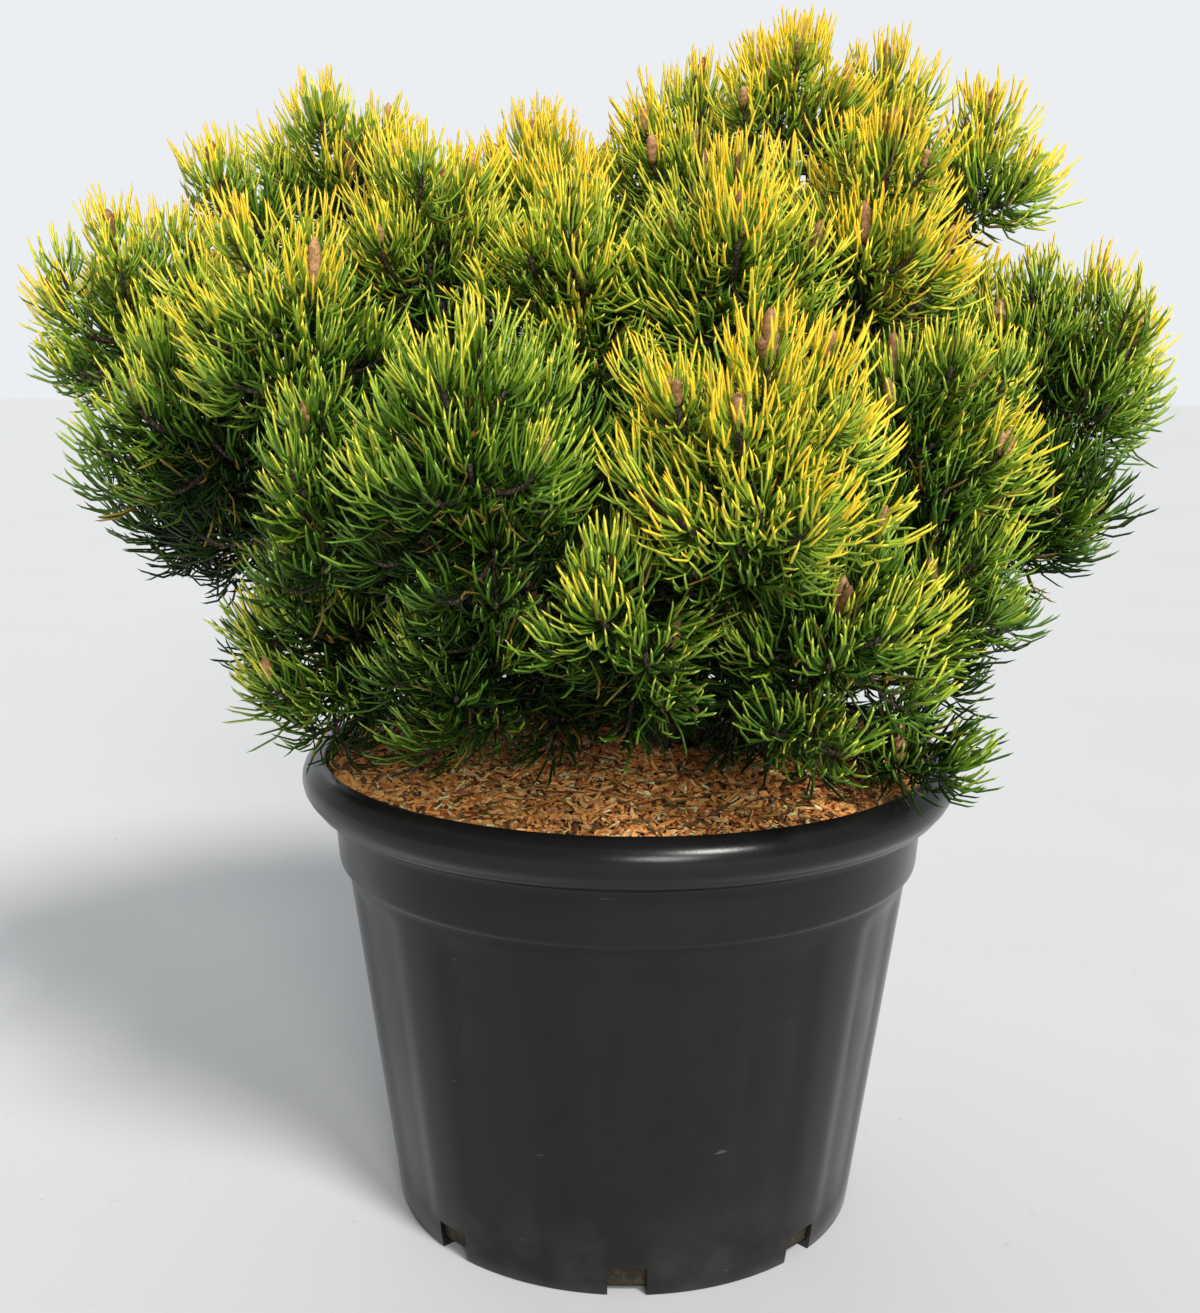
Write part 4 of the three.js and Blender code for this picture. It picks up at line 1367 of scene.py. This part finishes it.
def needles_of(twig, random, radius):
    """The needles of one twig as arrays, with the tones of each: pairs round the twig, swept forward."""
    count = twig.pairs
    rank = (np.arange(count) + 0.5) / count
    share = twig.bare + (1 - twig.bare) * rank ** PAIRS["crowding"]
    axis = twig.direction(share)
    side_a, side_b = side_directions(axis)
    turn = np.arange(count) * GOLDEN_TURN + random.normal(0, PAIRS["turn_jitter"], count)
    turn += random.uniform(0, PAIRS["first_turn"])
    degrees = lerp(*PAIRS["angles"], rank ** PAIRS["rise"]) + random.normal(0, PAIRS["jitter"], count)
    starts, leaving, arriving, lengths, suns = [], [], [], [], []
    for split in (-1, 1):
        own_turn = (turn + split * random.uniform(*PAIRS["split"], count))[:, None]
        own_angle = (np.radians(degrees) + split * random.uniform(*PAIRS["split_lean"], count))[:, None]
        across = side_a * np.cos(own_turn) + side_b * np.sin(own_turn)
        leave = own_angle + PAIRS["bow"]
        close = own_angle * random.uniform(*PAIRS["closing"], (count, 1)) - PAIRS["bow"]
        lift = UP * random.uniform(*PAIRS["lift"], (count, 1))
        end = unit(axis * np.cos(close) + across * np.sin(close) + lift)
        end = unit(end + random.normal(0, PAIRS["wander"], (count, 3)))
        starts.append(twig.point(share) + across * twig.radii[1] * 0.5)
        leaving.append(axis * np.cos(leave) + across * np.sin(leave))
        arriving.append(end)
        grown = lerp(*NEEDLE_SIZES["along"], rank ** 3)
        lengths.append(twig.needle_length * grown * random.uniform(*NEEDLE_SIZES["length"], count))
        further = NEEDLE_SUN["end"] * (rank - NEEDLE_SUN["middle"])
        # Needles that point up are painted sunnier: painted light.
        higher = NEEDLE_SUN["up"] * (end[:, 2] - NEEDLE_SUN["level"])
        suns.append(twig.sun + further + higher + random.normal(0, NEEDLE_SUN["jitter"], count))
    starts, leaving, arriving = map(np.concatenate, (starts, leaving, arriving))
    lengths, suns = map(np.concatenate, (lengths, suns))
    lengths = fitted_lengths(twig, starts, leaving, arriving, lengths)
    kept = lengths > 0
    inner = twig.rank == "inner"
    form = SHADED_NEEDLE if inner else ARCHED_NEEDLE
    tips = np.clip(suns[kept] * (SUNLIT_TONE + 0.5), 0, FULL_SUN * SUNLIT_TONE)
    tones = np.rint(tips[:, None] * form.tone_shares).clip(0, SUNLIT_TONE).astype(int)
    low = np.tile(rank, 2)[kept] < OLD_PART
    tones[low & (random.random(kept.sum()) < OLD_SHARES[twig.rank])] = OLD_TONE
    radius *= NEEDLE_SIZES["inner_radius"] if inner else 1
    radii = radius * random.uniform(*NEEDLE_SIZES["radius"], kept.sum())
    points, faces = needle_arrays(form, starts[kept], leaving[kept], arriving[kept], lengths[kept], radii)
    return points, faces, tones[:, form.bands].ravel()


# How far a needle may stand out of its mass's space and of the solids' box, and its least clearances.
NEEDLE_ROOM = {"mesh": 0.007, "proud": 0.006, "pot": 0.002, "limb": 0.001}


def fitted_lengths(twig, starts, leaving, arriving, lengths):
    """Each needle's length, cut back where it would leave the twig's space, or 0 where none fits."""
    low, high = np.array(CAD_BOX[0]) - NEEDLE_ROOM["proud"], np.array(CAD_BOX[1]) + NEEDLE_ROOM["proud"]
    result = np.zeros(len(starts))
    for size in (1.0, 0.84, 0.7):
        tried = lengths * size
        tips = needle_at(starts, leaving, arriving, tried, 1.0)
        middles = needle_at(starts, leaving, arriving, tried, 0.6)
        fits = plant.room_inside(tips, twig.clump) > -NEEDLE_ROOM["mesh"]
        fits &= ((tips > low) & (tips < high)).all(1)
        for points in (tips, middles):
            fits &= clear_of_pot(points, NEEDLE_ROOM["pot"])
            fits &= plant.limb_clearance(points) > NEEDLE_ROOM["limb"]
        result = np.where((result == 0) & fits, tried, result)
    return result


def bud_shape(sides=7, rings=10, foot=0.62, shoulder=0.62, tip=0.06):
    """A blunt bud of unit length on +Z: a column whose rings of scales step out and in."""
    rows = []
    for i in range(rings):
        share = i / (rings - 1)
        narrowing = max(0, (share - shoulder) / (1 - shoulder)) ** 2.2
        girth = min(1, foot + 1.4 * share) * max(tip, 1 - narrowing) ** 0.6 * (1.12 if i % 2 else 0.92)
        turns = (np.arange(sides) + 0.5 * (i % 2)) * 2 * math.pi / sides
        rows.append(np.column_stack((np.cos(turns) * girth, np.sin(turns) * girth, np.full(sides, share))))
    return np.concatenate(rows), tube_faces(rings, sides)


TWIG_ROUGHNESS = (0.8, 1.25)
# How likely a twig is to bear buds, as (always, times how sunlit it is), and how many a main shoot may have.
BUD_CHANCES = {"main": (0.3, 0.6), "fill": (0, 0.6), "side": (0, 0.25), "inner": (0, 0)}
BUD_CLUSTERS = (1, 1, 2, 3, 4)
BUD = {
    "girth": (0.0042, 0.0056), "size": (0.7, 1.4), "beside": 0.75, "side_length": 0.7, "side_girth": 0.8,
    "spread": (0.15, 0.45), "turn": 2.2, "turn_jitter": 0.6, "along": 0.5, "up": 0.9, "seat": 0.002,
}


class BudSettings(bpy.types.PropertyGroup):
    length: length_setting("Bud Length", "Length of a middling bud", 0.026, 0.003, 0.05)
    tan: colour_setting("Tan", "Colour of lit buds", (0.42, 0.2, 0.075))
    # The rust colour is a shaded copy of the tan, dealt to half the buds at random: painted shade.
    rust: colour_setting("Rust", "Colour of dark buds", (0.25, 0.11, 0.042))


class PINE_OT_foliage(bpy.types.Operator):
    """Grow the twigs and their sprays of needles"""

    bl_idname = "pine.foliage"
    bl_label = "Grow Foliage"

    def execute(self, context):
        settings = context.scene.pine_foliage
        random = np.random.default_rng(SEEDS["needles"])
        grower = Grower(settings)
        plant.twigs = twigs = grower.twigs
        self.make_twigs(context, twigs, grower.stems)
        tones = needle_paints(settings)
        for name, masses in NEEDLE_PIECES.items():
            joined = Joined()
            for twig in twigs:
                if twig.clump.mass in masses and twig.pairs:
                    joined.add(*needles_of(twig, random, settings.needle_width / 2))
            piece = joined.piece(name, tones)
            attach(piece, "root")
            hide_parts(*(f"foliage_{mass}" for mass in masses))
        return {"FINISHED"}

    def make_twigs(self, context, twigs, stems):
        """The wood inside the foliage, rough with the pegs that needles leave."""
        random = np.random.default_rng(SEEDS["twig_skin"])
        bark = context.scene.pine_bark
        rings, sides = 7, 5
        shares = np.linspace(0, 1, rings)
        faces = tube_faces(rings, sides)
        wood = Joined()
        for twig in [*stems, *twigs]:
            pegs = random.uniform(*TWIG_ROUGHNESS, (rings, sides))
            wood.add(tube_points(twig.point(shares), lerp(*twig.radii, shares)[:, None] * pegs, sides), faces)
        paint = bark_paint("bark_twig", dimmed(bark.bark, 0.7), bark.crevice, 260)
        piece = wood.piece("twigs", [paint])
        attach(piece, "root")


class PINE_OT_buds(bpy.types.Operator):
    """Set resinous buds on the ends of the shoots"""

    bl_idname = "pine.buds"
    bl_label = "Set Buds"

    def execute(self, context):
        if not plant.twigs:
            raise RuntimeError("The foliage has to be grown before its buds")
        settings = context.scene.pine_buds
        random = np.random.default_rng(SEEDS["buds"])
        shape, faces = bud_shape()
        buds = Joined()
        for twig in plant.twigs:
            always, sunny = BUD_CHANCES[twig.rank]
            if random.random() > always + sunny * twig.sun:
                continue
            for k in range(random.choice(BUD_CLUSTERS) if twig.rank == "main" else 1):
                points = self.bud_points(shape, twig, k, settings.length, random)
                buds.add(points, faces, int(random.random() < 0.5))
        # Half the buds take the rust paint, a shaded copy of the tan: painted shade.
        paints = [bud_paint("bud_tan", settings.tan, (0.58, 0.33, 0.15)),
                  bud_paint("bud_rust", settings.rust, (0.38, 0.19, 0.08))]
        piece = buds.piece("buds", paints)
        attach(piece, "root")
        return {"FINISHED"}

    def bud_points(self, shape, twig, order, length, random):
        """The corners of one bud on a twig's end: the first stands on it, and the others lean round it."""
        spread = random.uniform(*BUD["spread"]) if order else 0
        length *= random.uniform(*BUD["size"]) * (BUD["beside"] if order else 1)
        turn = order * BUD["turn"] + random.uniform(0, BUD["turn_jitter"])
        lean = spread * swung(*side_directions(twig.aim), turn)
        aim = unit(BUD["along"] * twig.aim + BUD["up"] * UP + lean)
        girth = random.uniform(*BUD["girth"])
        if twig.rank == "side":
            length, girth = length * BUD["side_length"], girth * BUD["side_girth"]
        across, over = side_directions(aim)
        skin = (shape[:, :1] * across + shape[:, 1:2] * over) * girth
        return twig.end + aim * BUD["seat"] + skin + shape[:, 2:] * aim * length


# --- Stage ---

CAMERA = {"place": (-0.025, -1.45, 0.792), "pitch": 11.86, "roll": 0.344, "lens": 46.67}
# The softboxes: where the light of each comes from, over how many degrees, and its colour.
LIGHTS = {
    "key": ((0.85, -1.3, 1.6), 14, (1, 0.985, 0.95)),
    "front": ((0.35, -1.7, 0.72), 18, (1, 0.985, 0.95)),
    "back": ((-0.5, 1.4, 1.6), 50, (0.96, 0.98, 1)),
}
# The share of its light that the air keeps overhead and behind the camera, and what it loses to the sides.
AIR = {"overhead": 0.5, "behind": 0.5, "sides_loss": 0.45}


class StageSettings(bpy.types.PropertyGroup):
    floor: colour_setting("Floor", "Colour of the studio floor", (0.6, 0.61, 0.62))
    air: colour_setting("Air", "Colour of the light from all round", (0.82, 0.84, 0.87))
    air_strength: strength_setting("Air Strength", "Strength of the light from all round", 1.02, high=10)
    key_strength: strength_setting("Key Strength", "Strength of the main softbox", 3.1)
    front_strength: strength_setting("Front Strength", "Strength of the low softbox in front", 1.6)
    back_strength: strength_setting("Back Strength", "Strength of the softbox behind", 0.45)


def wide_light(name, place, width, colour, strength):
    """A large, far softbox: its light comes from a place's direction, over a width in degrees."""
    lamp = bpy.data.lights.new(name, "SUN")
    lamp.energy = strength
    lamp.angle = math.radians(width)
    lamp.color = colour
    holder = bpy.data.objects.new(name, lamp)
    holder.rotation_euler = Vector(place).to_track_quat("Z", "Y").to_euler()
    bpy.context.scene.collection.objects.link(holder)


class PINE_OT_stage(bpy.types.Operator):
    """Set the pale floor, the softboxes and the camera"""

    bl_idname = "pine.stage"
    bl_label = "Set Stage"

    def execute(self, context):
        settings = context.scene.pine_stage
        start_fresh()
        bpy.ops.mesh.primitive_plane_add(size=24, location=(0, 0, 0))
        floor = added("studio_floor")
        floor.data.materials.append(floor_paint("floor_pale", settings.floor))
        self.set_air(context, settings)
        for name, light in LIGHTS.items():
            wide_light(name, *light, getattr(settings, f"{name}_strength"))
        self.set_camera(context)
        return {"FINISHED"}

    def set_air(self, context, settings):
        """Light from all round: dimmer overhead, to the sides and behind the camera than beyond the plant."""
        world = bpy.data.worlds.new("studio_air")
        world.use_nodes = True
        nodes = Nodes(world.node_tree)
        where = nodes.node("ShaderNodeTexCoord", output="Generated")
        x, y, z = (nodes.node("ShaderNodeSeparateXYZ", inputs={0: where}, output=axis) for axis in "XYZ")
        stops = ((0, settings.air), (0.18, settings.air), (0.5, dimmed(settings.air, AIR["overhead"])))
        level = nodes.node("ShaderNodeValToRGB", {"stops": stops}, {0: z})
        ahead = AIR["behind"] + (1 - AIR["behind"]) * y.above(-0.3, 0.6)
        strength = ahead * (1 - AIR["sides_loss"] * (x * x).above(0.5, 0.35))
        air = world.node_tree.nodes["Background"]
        nodes.feed(air.inputs["Color"], nodes.node("ShaderNodeVectorMath", {"operation": "SCALE"},
                                                   {0: level, "Scale": strength}))
        air.inputs["Strength"].default_value = settings.air_strength
        context.scene.world = world
        context.scene.view_settings.view_transform = "Standard"

    def set_camera(self, context):
        camera = bpy.data.objects.new("camera", bpy.data.cameras.new("camera"))
        camera.location = CAMERA["place"]
        camera.rotation_euler = (math.radians(90 - CAMERA["pitch"]), 0, 0)
        camera.rotation_euler.rotate_axis("Z", math.radians(CAMERA["roll"]))
        camera.data.lens = CAMERA["lens"]
        context.scene.collection.objects.link(camera)
        context.scene.camera = camera


class PINE_PT_panel(bpy.types.Panel):
    """The pine's pieces and their settings"""

    bl_idname = "PINE_PT_panel"
    bl_label = "Mugo Pine"
    bl_space_type = "VIEW_3D"
    bl_region_type = "UI"
    bl_category = "Mugo Pine"

    def draw(self, context):
        for group, (settings_class, operator) in PARTS.items():
            box = self.layout.box()
            for name in settings_class.__annotations__:
                box.prop(getattr(context.scene, group), name)
            box.operator(operator.bl_idname)


# Each part's settings in the scene, their class and the operator that makes the part.
PARTS = {
    "pine_pot": (PotSettings, PINE_OT_pot),
    "pine_mulch": (MulchSettings, PINE_OT_medium),
    "pine_bark": (BarkSettings, PINE_OT_limbs),
    "pine_foliage": (FoliageSettings, PINE_OT_foliage),
    "pine_buds": (BudSettings, PINE_OT_buds),
    "pine_stage": (StageSettings, PINE_OT_stage),
}
CLASSES = [each for pair in PARTS.values() for each in pair] + [PINE_PT_panel]

plant = Plant()


def register():
    for each in CLASSES:
        bpy.utils.register_class(each)
    for name, (group, _) in PARTS.items():
        setattr(bpy.types.Scene, name, bpy.props.PointerProperty(type=group))


def unregister():
    for name in PARTS:
        delattr(bpy.types.Scene, name)
    for each in reversed(CLASSES):
        bpy.utils.unregister_class(each)


def main():
    register()
    bpy.ops.pine.pot()
    bpy.ops.pine.medium()
    bpy.ops.pine.limbs()
    bpy.ops.pine.foliage()
    bpy.ops.pine.buds()
    bpy.ops.pine.stage()


if __name__ == "__main__":
    main()
